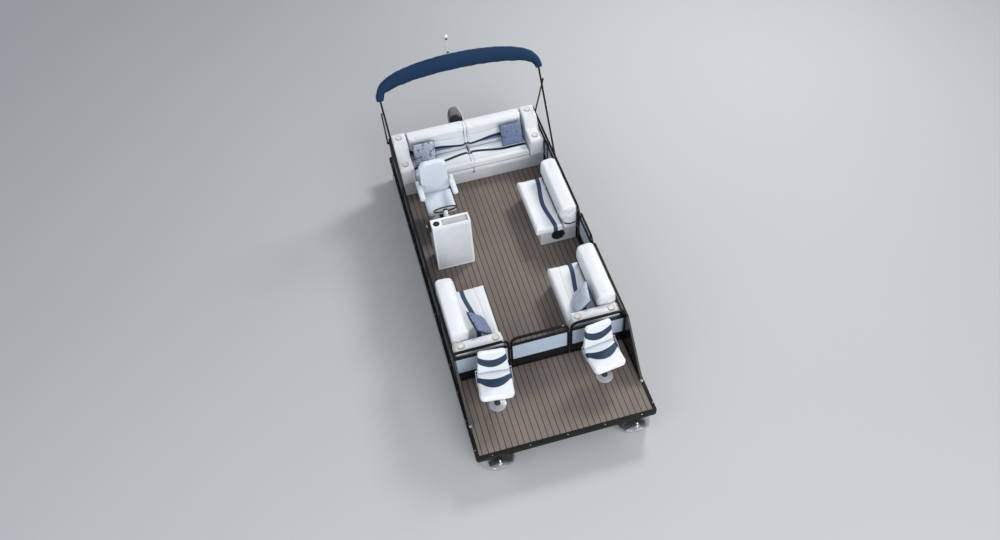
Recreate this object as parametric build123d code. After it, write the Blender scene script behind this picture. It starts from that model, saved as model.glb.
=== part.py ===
from build123d import *
import math
import os

os.makedirs("parts", exist_ok=True)

# Frame: +X to the bow, +Y to port, +Z up, origin amidships on the centreline at the waterline.
# All sizes are in millimetres.

# Deck and hull
DECK_BOW = 2950.0
DECK_AFT = -3150.0
HALF_BEAM = 1295.0
DECK_TOP = 480.0
DECK_THICK = 22.0
DECK_CORNER_R = 40.0
TRIM_OUTER = 4.0
TRIM_TOP = 3.0
TRIM_WIDTH = 55.0
TRIM_DROP = 75.0
BOLT_R = 8.0
CHANNEL_HEIGHT = 75.0
CHANNEL_WIDTH = 45.0
CHANNEL_WALL = 4.0
CHANNEL_FIRST = -3110.0
CHANNEL_PITCH = 424.0
CHANNEL_SIDE_INSET = 50.0
TRIM_BOLT_CORNER = 225.0
TUBE_R = 305.0
TUBE_SIDE_INSET = 310.0
TUBE_Y = HALF_BEAM - TUBE_SIDE_INSET
TUBE_TOP_GAP = 30.0
TUBE_AFT = -3080.0
NOSE_START = 2050.0
NOSE_LENGTH = 1016.0
RISER_OFF = 107.0
RISER_THICK = 8.0
RISER_SINK = 80.0
KEEL_HALF = 14.0
KEEL_DROP = 12.0
WELDS = (-1640.0, -410.0, 820.0)
EYE_X = NOSE_START + NOSE_LENGTH - 76.0
EYE_BORE_R = 17.0
EYE_WALL = 13.0
EYE_LIFT = 24.0

POD_FORE = -2350.0
POD_KNEE = -2780.0
POD_HALF = 290.0

# Fence
FENCE_TOP = 710.0
FENCE_TUBE = 30.0
FENCE_MID = 540.0
FENCE_SIDE_INSET = 30.0
FENCE_OUTER = HALF_BEAM - FENCE_SIDE_INSET
FENCE_BOW = 1675.0
FENCE_STERN = -2835.0
FENCE_BEND_R = 120.0
FENCE_MIDDLE = FENCE_OUTER - FENCE_TUBE / 2
PANEL_THICK = 5.0
PANEL_INSET = 0.5
KICK_TOP = 200.0
GATE_POST = 445.0
GATE_GAP = 10.0
GATE_SWING = 7.0
HINGE_HEIGHTS = (160.0, 480.0)
HINGE_R = 6.5
HINGE_PIN_R = 3.5
SIDE_GATE_AFT = -350.0
SIDE_GATE_FORE = 295.0
STARBOARD_BAY_COUNT = 5
PORT_FORE_BAY_COUNT = 2
PORT_AFT_BAY_COUNT = 3
BOW_BAY_COUNT = 1
STERN_BAY_COUNT = 3
GATE_BAY_COUNT = 1

# Seating
SEAT_BASE = 300.0
SEAT_TOP = 430.0
BACK_TOP = 800.0
COUCH_AFT = 375.0
COUCH_FORE = 1610.0
COUCH_ARM = 1425.0
SEAT_FENCE_GAP = 13.0
SEAT_OUT = FENCE_OUTER - FENCE_TUBE - SEAT_FENCE_GAP
COUCH_DEPTH = 742.0
COUCH_BACK_DEPTH = 237.0
COUCH_IN = SEAT_OUT - COUCH_DEPTH
COUCH_BACK_IN = SEAT_OUT - COUCH_BACK_DEPTH
COUCH_CUP_INSETS = (120.0, 117.0)
LOUNGE_FORE = -350.0
LOUNGE_AFT = -1510.0
LOUNGE_DEPTH = 677.0
LOUNGE_BACK_DEPTH = 222.0
LOUNGE_IN = SEAT_OUT - LOUNGE_DEPTH
LOUNGE_BACK_IN = SEAT_OUT - LOUNGE_BACK_DEPTH
BOLSTER_PROUD = 45.0
LID_AXIS_Y = LOUNGE_BACK_IN - 15.0
LID_AXIS_UP = 9.0
LID_HINGES = (-1250.0, -610.0)
LID_KNUCKLE_R = 8.0
LID_PIN_R = 4.0
LID_LUG = 24.0
LID_GAP = 0.5
BENCH_FRONT = -2120.0
BENCH_BACK_FRONT = -2540.0
BENCH_AFT = -2795.0
BENCH_ARM_WIDTH = 237.0
BENCH_ARM_IN = SEAT_OUT - BENCH_ARM_WIDTH
BASE_RECESS = 70.0
BASE_WALL = 12.0
CUP_R = 42.0
CUP_DEPTH = 65.0

# Helm
CONSOLE_FRONT = -418.0
CONSOLE_HALF = 295.0
CONSOLE_SIDE_INSET = 263.0
CONSOLE_Y = CONSOLE_HALF + CONSOLE_SIDE_INSET - HALF_BEAM
CONSOLE_TOP = 960.0
LEDGE_DEPTH = 190.0
WHEEL_X = -885.0
WHEEL_Z = 830.0
WHEEL_R = 175.0
WHEEL_TILT = 32.0
HELM_X = -1425.0
HELM_OFF = -3.0
HELM_Y = CONSOLE_Y + HELM_OFF

# Fishing chairs
FISH_X = 2186.0
FISH_TURN = 7.0
FISH_HALF = 246.0
FISH_SIDE_INSET = 505.0
FISH_Y = HALF_BEAM - FISH_SIDE_INSET
FISH_SEAT_TOP = 490.0
FISH_HINGE_BACK = 240.0
FISH_HINGE_UP = 50.0
FISH_PIN_R = 8.0

# Canopy
BIMINI_FOOT_X = -1610.0
BIMINI_FOOT_Z = 735.0
BIMINI_LEAN = 47.0
BIMINI_HALF = 1290.0
BIMINI_LEG = 1450.0
BIMINI_CROWN = 1770.0
BIMINI_TUBE_R = 15.5
BOOT_HALF = 78.0
BRACE_TOP = 1200.0
BRACE_R = 13.0
BRACE_OFF = 36.5
BRACE_FOOT_X = FENCE_STERN + 35.0
BRACE_FOOT_Y = FENCE_OUTER + 21.0
BRACE_FOOT_Z = 640.0
PIN_R = 6.0

# Outboard motor
TRANSOM_TOP = 455.0
TRANSOM_X = -3230.0
TRANSOM_RAKE = 12.0
STEER_X = -3335.0
STEM_R = 20.0
SWIVEL_R = 46.0
LEG_FRONT = 58.0
TILT_X = -3262.0
TILT_Z = 472.0
PROP_Z = -395.0
SHAFT_R = 9.0

# Clearances
REST_GAP = 0.3
BORE_GAP = 0.05
SIDES = (-1, 1)

DECK_LOW = DECK_TOP - DECK_THICK
CHANNEL_LOW = DECK_LOW - CHANNEL_HEIGHT
TUBE_Z = CHANNEL_LOW - TUBE_TOP_GAP - TUBE_R
RAIL_FOOT = DECK_TOP + TRIM_TOP
RAIL_TOP = RAIL_FOOT + FENCE_TOP
LEG_SPREAD = (BIMINI_HALF - FENCE_MIDDLE) / BIMINI_LEG
BRACE_Y = FENCE_MIDDLE + LEG_SPREAD * BRACE_TOP + BRACE_OFF
FAR = 9000.0


def block(x0, x1, y0, y1, z0, z1):
    """A box from its limits along each axis."""
    return Pos((x0 + x1) / 2, (y0 + y1) / 2, (z0 + z1) / 2) * Box(x1 - x0, y1 - y0, z1 - z0)


def outline(points, axis, start):
    """A flat face from a list of pairs, square to the named axis at the start."""
    if axis == "x":
        spots = [(start, a, b) for a, b in points]
    elif axis == "y":
        spots = [(a, start, b) for a, b in points]
    else:
        spots = [(a, b, start) for a, b in points]
    return make_face(Polyline(*spots, close=True))


def prism(points, axis, start, end):
    """A straight prism of an outline along an axis."""
    way = {"x": (1, 0, 0), "y": (0, 1, 0), "z": (0, 0, 1)}[axis]
    return extrude(outline(points, axis, start), amount=end - start, dir=way)


def soft(points, radius, axis, start, end):
    """A prism whose outline has rounded corners."""
    way = {"x": (1, 0, 0), "y": (0, 1, 0), "z": (0, 0, 1)}[axis]
    face = outline(points, axis, start)
    face = fillet(face.vertices(), radius=radius)
    return extrude(face, amount=end - start, dir=way)


def rectangle(a0, a1, b0, b1):
    """Four corners as pairs."""
    return [(a0, b0), (a1, b0), (a1, b1), (a0, b1)]


def rod(start, end, radius):
    """A round rod between two points."""
    a = Vector(*start)
    b = Vector(*end)
    return extrude(Plane(origin=a, z_dir=b - a) * Circle(radius), amount=(b - a).length)


def drum(x, y, z0, z1, radius):
    """An upright round cylinder."""
    return Pos(x, y, (z0 + z1) / 2) * Cylinder(radius, z1 - z0)


def save(name, solids):
    """Write one node as a STEP file."""
    solids = [piece for item in solids for piece in item.solids()]
    export_step(Compound(children=solids), f"parts/{name}.step")


def side(solid, way):
    """The port solid for way 1 and its starboard mirror image for way -1."""
    return solid if way > 0 else mirror(solid, about=Plane.XZ)


# Hull

def pontoon():
    """The port tube with its raised nose, risers, keel and end plate."""
    length = NOSE_START - TUBE_AFT
    tube = Pos(TUBE_AFT + length / 2, TUBE_Y, TUBE_Z) * Rot(0, 90, 0) * Cylinder(TUBE_R, length)
    # columns: share of the nose's length, half width and height as shares of the tube's radius
    sections = [
        (0.0, 1.0, 2.0),
        (0.246, 0.993, 1.948),
        (0.463, 0.964, 1.770),
        (0.640, 0.911, 1.515),
        (0.778, 0.833, 1.200),
        (0.876, 0.728, 0.879),
        (0.945, 0.590, 0.564),
        (0.984, 0.433, 0.315),
        (1.0, 0.282, 0.144),
    ]
    top = TUBE_Z + TUBE_R
    faces = []
    for share, half, height in sections:
        drop = 12.0 * share
        centre = top - drop - TUBE_R * height / 2
        spot = (NOSE_START + NOSE_LENGTH * share, TUBE_Y, centre)
        place = Plane(origin=spot, x_dir=(0, 1, 0), z_dir=(1, 0, 0))
        faces.append(place * Ellipse(TUBE_R * half, TUBE_R * height / 2))
    hull = tube + loft(faces, ruled=True)
    outer = RISER_OFF + RISER_THICK
    foot = TUBE_Z + math.sqrt(TUBE_R ** 2 - outer ** 2) - RISER_SINK
    for y in (TUBE_Y - outer, TUBE_Y + RISER_OFF):
        hull += block(TUBE_AFT + 30, NOSE_START + 250, y, y + RISER_THICK, foot, CHANNEL_LOW)
    low = TUBE_Z - TUBE_R
    hull += block(TUBE_AFT + 10, NOSE_START + 20, TUBE_Y - KEEL_HALF, TUBE_Y + KEEL_HALF,
                  low - KEEL_DROP, low + 25)
    rim = Pos(TUBE_AFT, TUBE_Y, TUBE_Z) * Rot(0, 90, 0) * (Cylinder(TUBE_R + 6, 16) - Cylinder(TUBE_R - 14, 18))
    for x in WELDS:
        hull += Pos(x, TUBE_Y, TUBE_Z) * Rot(0, 90, 0) * Cylinder(TUBE_R + 2, 10)
    eye = block(EYE_X - 30, EYE_X + 30, TUBE_Y - 24, TUBE_Y + 24, top - 60, top + 6)
    round_eye = Cylinder(EYE_BORE_R + EYE_WALL, 14) - Cylinder(EYE_BORE_R, 16)
    ring = Pos(EYE_X, TUBE_Y, top + EYE_LIFT) * Rot(90, 0, 0) * round_eye
    return hull + rim + eye + ring


def crossmembers():
    """The C channels that carry the deck."""
    made = []
    half = HALF_BEAM - CHANNEL_SIDE_INSET
    count = int((DECK_BOW - CHANNEL_FIRST - CHANNEL_WIDTH) / CHANNEL_PITCH) + 1
    for index in range(count):
        x = CHANNEL_FIRST + CHANNEL_PITCH * index
        outer = block(x, x + CHANNEL_WIDTH, -half, half, CHANNEL_LOW, DECK_LOW)
        inner = block(x + CHANNEL_WALL, x + CHANNEL_WIDTH + 1, -half - 1, half + 1,
                      CHANNEL_LOW + CHANNEL_WALL, DECK_LOW - CHANNEL_WALL)
        made.append(outer - inner)
    return made


def rake_x(z):
    """The x of the raked transom's aft face at a height."""
    return TRANSOM_X + (TRANSOM_TOP - z) * math.tan(math.radians(TRANSOM_RAKE))


def motor_pod():
    """The buoyant pod under the stern with its raked transom."""
    low = -40.0
    front = TRANSOM_X + 50
    points = [
        (POD_FORE, CHANNEL_LOW),
        (POD_FORE, CHANNEL_LOW - 60),
        (POD_KNEE, low + 30),
        (rake_x(low), low),
        (rake_x(TRANSOM_TOP), TRANSOM_TOP),
        (front, TRANSOM_TOP),
        (front, CHANNEL_LOW),
    ]
    return prism(points, "y", -POD_HALF, POD_HALF)


def deck():
    """The plywood deck with its plank covering."""
    y = HALF_BEAM - TRIM_OUTER
    corners = rectangle(DECK_AFT + TRIM_OUTER, DECK_BOW - TRIM_OUTER, -y, y)
    return soft(corners, DECK_CORNER_R, "z", DECK_LOW, DECK_TOP)


def deck_trim():
    """Four mitred angle trims round the deck's edge."""
    x0 = DECK_AFT
    x1 = DECK_BOW
    y = HALF_BEAM
    high = DECK_TOP + TRIM_TOP
    low = high - TRIM_DROP
    ring = soft(rectangle(x0, x1, -y, y), DECK_CORNER_R + TRIM_OUTER, "z", low, high)
    inner = soft(rectangle(x0 + TRIM_OUTER, x1 - TRIM_OUTER, -y + TRIM_OUTER, y - TRIM_OUTER),
                 DECK_CORNER_R, "z", low - 1, DECK_TOP)
    hole = block(x0 + TRIM_WIDTH, x1 - TRIM_WIDTH, -y + TRIM_WIDTH, y - TRIM_WIDTH, DECK_TOP - 1, high + 1)
    ring = ring - inner - hole
    reach = 200.0
    cut = 0.1
    made = []
    for way, x in ((-1, x0), (1, x1)):
        far = x + way * 5
        near = far - way * reach
        end = [(far, -y - 5 + cut), (far, y + 5 - cut), (near, y + 5 - reach - cut), (near, -y - 5 + reach + cut)]
        made.append(ring & prism(end, "z", low - 5, high + 5))
    for way in SIDES:
        far = way * (y + 5)
        near = way * (y + 5 - reach)
        edge = [(x0 - 5 + cut, far), (x1 + 5 - cut, far), (x1 + 5 - reach - cut, near), (x0 - 5 + reach + cut, near)]
        made.append(ring & prism(edge, "z", low - 5, high + 5))
    return made


def trim_bolts():
    """Domed bolt heads along the deck trim."""
    made = []
    z = DECK_TOP + TRIM_TOP
    y = HALF_BEAM - 14
    half = HALF_BEAM - TRIM_BOLT_CORNER
    for index in range(5):
        across = -half + index * half / 2
        for x in (DECK_AFT + 14, DECK_BOW - 14):
            made.append(drum(x, across, z, z + 3, BOLT_R))
    for index in range(13):
        along = -2960 + index * 480
        for way in SIDES:
            made.append(drum(along, way * y, z, z + 3, BOLT_R))
    return made


# Fences

def fence_sheet(u0, u1, bends, bays):
    """The flat outline of one fence section with its windows, in u and height."""
    tube = FENCE_TUBE
    sheet = outline(rectangle(u0, u1, 0, FENCE_TOP), "z", 0)
    for u, radius in zip((u0, u1), bends):
        if radius:
            spot = [v for v in sheet.vertices() if abs(v.X - u) < 1e-6 and v.Y > FENCE_TOP - 1]
            sheet = fillet(spot, radius=radius)
    pitch = (u1 - u0 - tube) / bays
    for index in range(bays):
        a = u0 + tube + pitch * index
        b = u0 + pitch * (index + 1)
        sheet -= outline(rectangle(a, b, tube, FENCE_MID), "z", 0)
        high = outline(rectangle(a, b, FENCE_MID + tube, FENCE_TOP - tube), "z", 0)
        for u, radius, last in ((a, bends[0], index == 0), (b, bends[1], index == bays - 1)):
            if radius and last:
                spot = [v for v in high.vertices() if abs(v.X - u) < 1e-6 and v.Y > FENCE_TOP - tube - 1]
                high = fillet(spot, radius=radius - tube)
        sheet -= high
    return sheet


def windows(u0, u1, bays):
    """The limits along u of each bay's window."""
    pitch = (u1 - u0 - FENCE_TUBE) / bays
    return [(u0 + FENCE_TUBE + pitch * k, u0 + pitch * (k + 1)) for k in range(bays)]


def stand(sheet, axis, place, thick):
    """Stand a flat outline up as a plate square to an axis, from place towards plus."""
    if axis == "x":
        plane = Plane(origin=(place, 0, RAIL_FOOT), x_dir=(0, 1, 0), z_dir=(1, 0, 0))
    else:
        plane = Plane(origin=(0, place + thick, RAIL_FOOT), x_dir=(1, 0, 0), z_dir=(0, -1, 0))
    return extrude(plane * sheet, amount=thick)


def fence(axis, place, u0, u1, bends, bays):
    """One fence frame."""
    return stand(fence_sheet(u0, u1, bends, bays), axis, place, FENCE_TUBE)


def panel(axis, place, u0, u1, bays, low, high):
    """The sheets between two heights in a fence's lower windows."""
    made = []
    middle = place + (FENCE_TUBE - PANEL_THICK) / 2
    for a, b in windows(u0, u1, bays):
        sheet = outline(rectangle(a + PANEL_INSET, b - PANEL_INSET, low, high), "z", 0)
        made.append(stand(sheet, axis, middle, PANEL_THICK))
    return made


BOW_PLACE = FENCE_BOW - FENCE_TUBE
SIDE_PLACE = FENCE_OUTER - FENCE_TUBE
STERN_PLACE = FENCE_STERN + FENCE_TUBE
# columns: node, axis, place, start, end, bend radii at start and end, bays
FENCES = [
    ("rail_starboard", "y", -FENCE_OUTER, STERN_PLACE, BOW_PLACE, (0, 0), STARBOARD_BAY_COUNT),
    ("rail_port", "y", SIDE_PLACE, SIDE_GATE_FORE, BOW_PLACE, (FENCE_BEND_R, 0), PORT_FORE_BAY_COUNT),
    ("rail_port", "y", SIDE_PLACE, STERN_PLACE, SIDE_GATE_AFT, (0, FENCE_BEND_R), PORT_AFT_BAY_COUNT),
    ("rail_bow", "x", BOW_PLACE, -FENCE_OUTER, -GATE_POST, (0, FENCE_BEND_R), BOW_BAY_COUNT),
    ("rail_bow", "x", BOW_PLACE, GATE_POST, FENCE_OUTER, (FENCE_BEND_R, 0), BOW_BAY_COUNT),
    ("rail_stern", "x", FENCE_STERN, -FENCE_OUTER, FENCE_OUTER, (0, 0), STERN_BAY_COUNT),
]
BOW_LEAF = (-GATE_POST + GATE_GAP, GATE_POST - GATE_GAP - 5)
SIDE_LEAF = (SIDE_GATE_AFT + GATE_GAP, SIDE_GATE_FORE - GATE_GAP)


def gate(axis, place, leaf):
    """A gate's frame, its pale panel and its dark kick panel."""
    frame = fence(axis, place, leaf[0], leaf[1], (FENCE_BEND_R, FENCE_BEND_R), GATE_BAY_COUNT)
    lift = 12.0
    foot = block(-FAR, FAR, -FAR, FAR, DECK_TOP - 1, DECK_TOP + lift)
    frame = frame - foot
    pale = panel(axis, place, leaf[0], leaf[1], GATE_BAY_COUNT, KICK_TOP, FENCE_MID - PANEL_INSET)
    dark = panel(axis, place, leaf[0], leaf[1], GATE_BAY_COUNT, FENCE_TUBE + PANEL_INSET, KICK_TOP - PANEL_INSET)
    return frame, pale, dark


def hinge_pair(spot, gate_tab, post_tab):
    """Knuckles of one gate: the leaf's with a bore and the post's with a pin, at two heights."""
    x, y = spot
    leaf = []
    post = []
    for height in HINGE_HEIGHTS:
        z = RAIL_FOOT + height
        knuckle = drum(x, y, z - 14, z + 14, HINGE_R)
        knuckle += block(*gate_tab, z - 14, z + 14)
        leaf.append(knuckle - drum(x, y, z - 20, z + 20, HINGE_PIN_R + BORE_GAP))
        pin = drum(x, y, z - 40, z + 15, HINGE_PIN_R)
        pin += drum(x, y, z - 40, z - 14.5, HINGE_R)
        pin += block(*post_tab, z - 40, z - 14.5)
        post.append(pin)
    return leaf, post


def bow_side_rails():
    """Sloping side rails of the bow deck, each with a filled panel."""
    made = []
    foot = 2435.0
    points = [(FENCE_BOW, DECK_TOP + TRIM_TOP), (foot, DECK_TOP + TRIM_TOP), (foot, DECK_TOP + 70),
              (FENCE_BOW + 110, RAIL_TOP), (FENCE_BOW, RAIL_TOP)]
    inner = [(FENCE_BOW + 30, DECK_TOP + 33), (foot - 70, DECK_TOP + 33),
             (FENCE_BOW + 95, RAIL_TOP - 30), (FENCE_BOW + 30, RAIL_TOP - 30)]
    plate = prism(points, "y", FENCE_OUTER - FENCE_TUBE, FENCE_OUTER)
    for low, high in ((FENCE_OUTER - FENCE_TUBE - 1, FENCE_OUTER - 18), (FENCE_OUTER - 12, FENCE_OUTER + 1)):
        plate = plate - prism(inner, "y", low, high)
    for way in SIDES:
        made.append(side(plate, way))
    return made


def rail_feet():
    """Bright cast feet where the bow side rails meet the deck."""
    made = []
    for way in SIDES:
        foot = prism([(2435, FENCE_OUTER - 40), (2475, FENCE_OUTER - 26), (2475, FENCE_OUTER - 4),
                      (2435, FENCE_OUTER + 6)], "z", DECK_TOP + TRIM_TOP, DECK_TOP + 62)
        made.append(side(foot, way))
    return made


# Seats

def tub(x0, x1, y0, y1, wall_front):
    """A hollow seat base open at the top, with its walls."""
    z0 = DECK_TOP
    z1 = DECK_TOP + SEAT_BASE
    wall = BASE_WALL
    return block(x0, x1, y0, y1, z0, z1) - block(x0 + wall, x1 - wall, y0 + wall, y1 - wall, z0 + wall, z1 + 1)


def bolster(inner, start):
    """The end face of a backrest whose roll stands proud of its foot."""
    z0 = DECK_TOP
    roll = inner - BOLSTER_PROUD
    back = [(inner, z0 + SEAT_BASE), (SEAT_OUT, z0 + SEAT_BASE), (SEAT_OUT, z0 + BACK_TOP),
            (roll + 10, z0 + BACK_TOP), (roll, z0 + BACK_TOP - 110), (roll, z0 + BACK_TOP - 230),
            (inner, z0 + SEAT_TOP + 50)]
    face = outline(back, "x", start)
    return fillet(face.vertices().sort_by(Axis.Z)[-2:], radius=55)


def couch_parts():
    """Base, seat, back and arm of the port bow couch."""
    z0 = DECK_TOP
    front = COUCH_IN + BASE_RECESS
    base = block(COUCH_AFT + 20, COUCH_FORE, front, SEAT_OUT, z0, z0 + SEAT_BASE)
    seat = soft(rectangle(COUCH_IN, COUCH_BACK_IN - 3, z0 + SEAT_BASE, z0 + SEAT_TOP), 28, "x",
                COUCH_AFT, COUCH_ARM - 3)
    face = bolster(COUCH_BACK_IN, COUCH_AFT - 5)
    back = extrude(face, amount=COUCH_ARM - 3 - COUCH_AFT + 5, dir=(1, 0, 0))
    arm = soft(rectangle(COUCH_IN + 20, SEAT_OUT, z0 + SEAT_BASE, z0 + 650), 45, "x", COUCH_ARM, COUCH_FORE)
    for y in (COUCH_IN + COUCH_CUP_INSETS[0], SEAT_OUT - COUCH_CUP_INSETS[1]):
        arm -= drum((COUCH_ARM + COUCH_FORE) / 2, y, z0 + 650 - CUP_DEPTH, z0 + 660, CUP_R)
    return base, seat, back, arm


def lounge_parts():
    """Base, seat, back and front speaker of the port lounge."""
    z0 = DECK_TOP
    base = tub(LOUNGE_AFT + 20, LOUNGE_FORE - 65, LOUNGE_IN + 100, SEAT_OUT, BASE_WALL)
    seat = soft(rectangle(LOUNGE_IN, LOUNGE_BACK_IN - 6, z0 + SEAT_BASE, z0 + SEAT_TOP), 28, "x",
                LOUNGE_AFT + 20, LOUNGE_FORE)
    face = bolster(LOUNGE_BACK_IN, LOUNGE_AFT)
    back = extrude(face, amount=LOUNGE_FORE - LOUNGE_AFT, dir=(1, 0, 0))
    axis_z = z0 + SEAT_TOP + LID_AXIS_UP
    for x in LID_HINGES:
        lug = block(x - LID_LUG / 2, x + LID_LUG / 2, LID_AXIS_Y - 22, LID_AXIS_Y, axis_z - 30, axis_z)
        lug += rod((x - LID_LUG / 2, LID_AXIS_Y, axis_z), (x + LID_LUG / 2, LID_AXIS_Y, axis_z), LID_KNUCKLE_R)
        seat += lug
        seat -= rod((x - LID_LUG, LID_AXIS_Y, axis_z), (x + LID_LUG, LID_AXIS_Y, axis_z), LID_PIN_R + BORE_GAP)
    x = LOUNGE_FORE - 65
    speaker = Pos(x + 8, LOUNGE_BACK_IN - 73, z0 + 175) * Rot(0, 90, 0) * Cylinder(108, 16)
    return base, seat, back, speaker


def lounge_hinges():
    """Bracket, knuckles and pin of each hinge of the lounge's lifting seat."""
    made = []
    axis_z = DECK_TOP + SEAT_TOP + LID_AXIS_UP
    near = LID_LUG / 2 + LID_GAP
    far = near + 20
    for x in LID_HINGES:
        hinge = block(x - far, x + far, LOUNGE_BACK_IN - 4, LOUNGE_BACK_IN, axis_z - 14, axis_z + 1)
        for way in SIDES:
            low = min(way * near, way * far)
            hinge += rod((x + low, LID_AXIS_Y, axis_z), (x + low + 20, LID_AXIS_Y, axis_z), LID_KNUCKLE_R)
            hinge += block(x + low, x + low + 20, LID_AXIS_Y, LOUNGE_BACK_IN - 2, axis_z - 7, axis_z + 1)
        hinge += rod((x - far, LID_AXIS_Y, axis_z), (x + far, LID_AXIS_Y, axis_z), LID_PIN_R)
        made.append(hinge)
    return made


def bench_parts():
    """Base, seats, backs and arms of the stern bench."""
    z0 = DECK_TOP
    base = block(BENCH_AFT + 20, BENCH_FRONT - 35, -SEAT_OUT, SEAT_OUT, z0, z0 + SEAT_BASE)
    seats = []
    backs = []
    arms = []
    for way in SIDES:
        seat = soft([(BENCH_BACK_FRONT + 3, z0 + SEAT_BASE), (BENCH_FRONT, z0 + SEAT_BASE),
                     (BENCH_FRONT, z0 + SEAT_TOP), (BENCH_BACK_FRONT + 3, z0 + SEAT_TOP)], 28, "y",
                    1.5, BENCH_ARM_IN - 3)
        seats.append(side(seat, way))
        back = [(BENCH_AFT, z0 + SEAT_BASE), (BENCH_BACK_FRONT, z0 + SEAT_BASE),
                (BENCH_BACK_FRONT, z0 + SEAT_TOP + 20), (BENCH_BACK_FRONT - 60, z0 + 850),
                (BENCH_AFT, z0 + 850)]
        face = outline(back, "y", 1.5)
        face = fillet(face.vertices().sort_by(Axis.Z)[-2:], radius=60)
        backs.append(side(extrude(face, amount=BENCH_ARM_IN - 4.5, dir=(0, 1, 0)), way))
        arm = [(BENCH_AFT, z0 + SEAT_BASE), (BENCH_FRONT + 25, z0 + SEAT_BASE), (BENCH_FRONT + 25, z0 + 650),
               (BENCH_FRONT - 270, z0 + 650), (BENCH_BACK_FRONT + 30, z0 + 850), (BENCH_AFT, z0 + 850)]
        face = outline(arm, "y", BENCH_ARM_IN)
        face = fillet(face.vertices().sort_by(Axis.Z)[2:], radius=40)
        arm = extrude(face, amount=SEAT_OUT - BENCH_ARM_IN, dir=(0, 1, 0))
        middle = (BENCH_ARM_IN + SEAT_OUT) / 2
        for x, top in ((BENCH_FRONT - 110, z0 + 650), (BENCH_AFT + 135, z0 + 850)):
            arm -= drum(x, middle, top - CUP_DEPTH, top + 10, CUP_R)
        arms.append(side(arm, way))
    return base, seats, backs, arms


# Helm

def console():
    """The hollow console moulding, open aft for the driver's knees."""
    z0 = DECK_TOP
    aft = CONSOLE_FRONT - 470
    top = z0 + CONSOLE_TOP
    shape = [(CONSOLE_FRONT, z0), (CONSOLE_FRONT, top), (CONSOLE_FRONT - LEDGE_DEPTH, top),
             (CONSOLE_FRONT - LEDGE_DEPTH - 30, top - 30), (aft + 90, z0 + 730), (aft + 120, z0 + 680),
             (aft + 120, z0)]
    wall = 10.0
    hollow = [(CONSOLE_FRONT - wall, z0 - 1), (CONSOLE_FRONT - wall, top - wall - 70),
              (CONSOLE_FRONT - LEDGE_DEPTH - 20, top - wall - 70), (aft + 100 + wall + 22, z0 + 685),
              (aft + 100 + wall + 22, z0 + 560), (aft - 10, z0 + 560), (aft - 10, z0 - 1)]
    shell = prism(shape, "y", CONSOLE_Y - CONSOLE_HALF, CONSOLE_Y + CONSOLE_HALF)
    space = prism(hollow, "y", CONSOLE_Y - CONSOLE_HALF + wall, CONSOLE_Y + CONSOLE_HALF - wall)
    shell = shell - space
    cup = drum(CONSOLE_FRONT - 95, CONSOLE_Y - 215, top - 62, top + 1, CUP_R)
    tray = block(CONSOLE_FRONT - 165, CONSOLE_FRONT - 35, CONSOLE_Y - 130, CONSOLE_Y + 265, top - 25, top + 1)
    return shell - cup - tray


def wheel_place():
    """The steering wheel's plane, its normal along the column towards the driver."""
    tilt = math.radians(WHEEL_TILT)
    way = (-math.cos(tilt), 0, math.sin(tilt))
    return Plane(origin=(WHEEL_X, CONSOLE_Y, DECK_TOP + WHEEL_Z), x_dir=(0, 1, 0), z_dir=way)


def steering_wheel():
    """Rim, three spokes, hub and the shaft behind it."""
    rim = Torus(WHEEL_R, 13)
    for angle in (0, 90, 180):
        rim += Rot(0, 0, angle) * Pos(WHEEL_R / 2, 0, -6) * Box(WHEEL_R, 26, 8)
    rim += Pos(0, 0, -8) * Cylinder(38, 30)
    return wheel_place() * rim


def helm_column():
    """The fixed boss that carries the steering wheel."""
    return wheel_place() * (Pos(0, 0, -113.5) * Cylinder(30, 180))


def dash_controls():
    """Round gauges on the dash and the side throttle with its lever."""
    made = []
    x0 = CONSOLE_FRONT - LEDGE_DEPTH - 30
    x1 = CONSOLE_FRONT - 470 + 90
    z0 = DECK_TOP + CONSOLE_TOP - 30
    z1 = DECK_TOP + 730
    run = Vector(x1 - x0, 0, z1 - z0)
    place = Vector(x0, 0, z0) + run * 0.36
    up = Vector(-(z1 - z0), 0, x1 - x0).normalized() * -1
    for offset in (-150, 0, 150):
        spot = Plane(origin=(place.X, CONSOLE_Y + offset, place.Z), x_dir=(0, 1, 0), z_dir=(up.X, 0, up.Z))
        made.append(spot * (Pos(0, 0, 4) * Cylinder(46, 8)))
    y = CONSOLE_Y - CONSOLE_HALF
    throttle = block(CONSOLE_FRONT - 300, CONSOLE_FRONT - 170, y - 45, y, DECK_TOP + 700, DECK_TOP + 860)
    throttle += rod((CONSOLE_FRONT - 235, y - 20, DECK_TOP + 800), (CONSOLE_FRONT - 235, y - 70, DECK_TOP + 800), 22)
    throttle += rod((CONSOLE_FRONT - 235, y - 60, DECK_TOP + 800), (CONSOLE_FRONT - 200, y - 60, DECK_TOP + 945), 10)
    throttle += rod((CONSOLE_FRONT - 200, y - 75, DECK_TOP + 945), (CONSOLE_FRONT - 200, y + 0, DECK_TOP + 945), 17)
    return made, throttle


def pedestal(x, y, top, base_r, post_r):
    """A chair pedestal: domed round base, post and the bearing plate."""
    z0 = DECK_TOP
    made = drum(x, y, z0, z0 + 10, base_r)
    made += Pos(x, y, z0 + 25) * Cone(base_r - 8, post_r + 14, 30)
    made += drum(x, y, z0 + 8, top, post_r)
    return made


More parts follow.
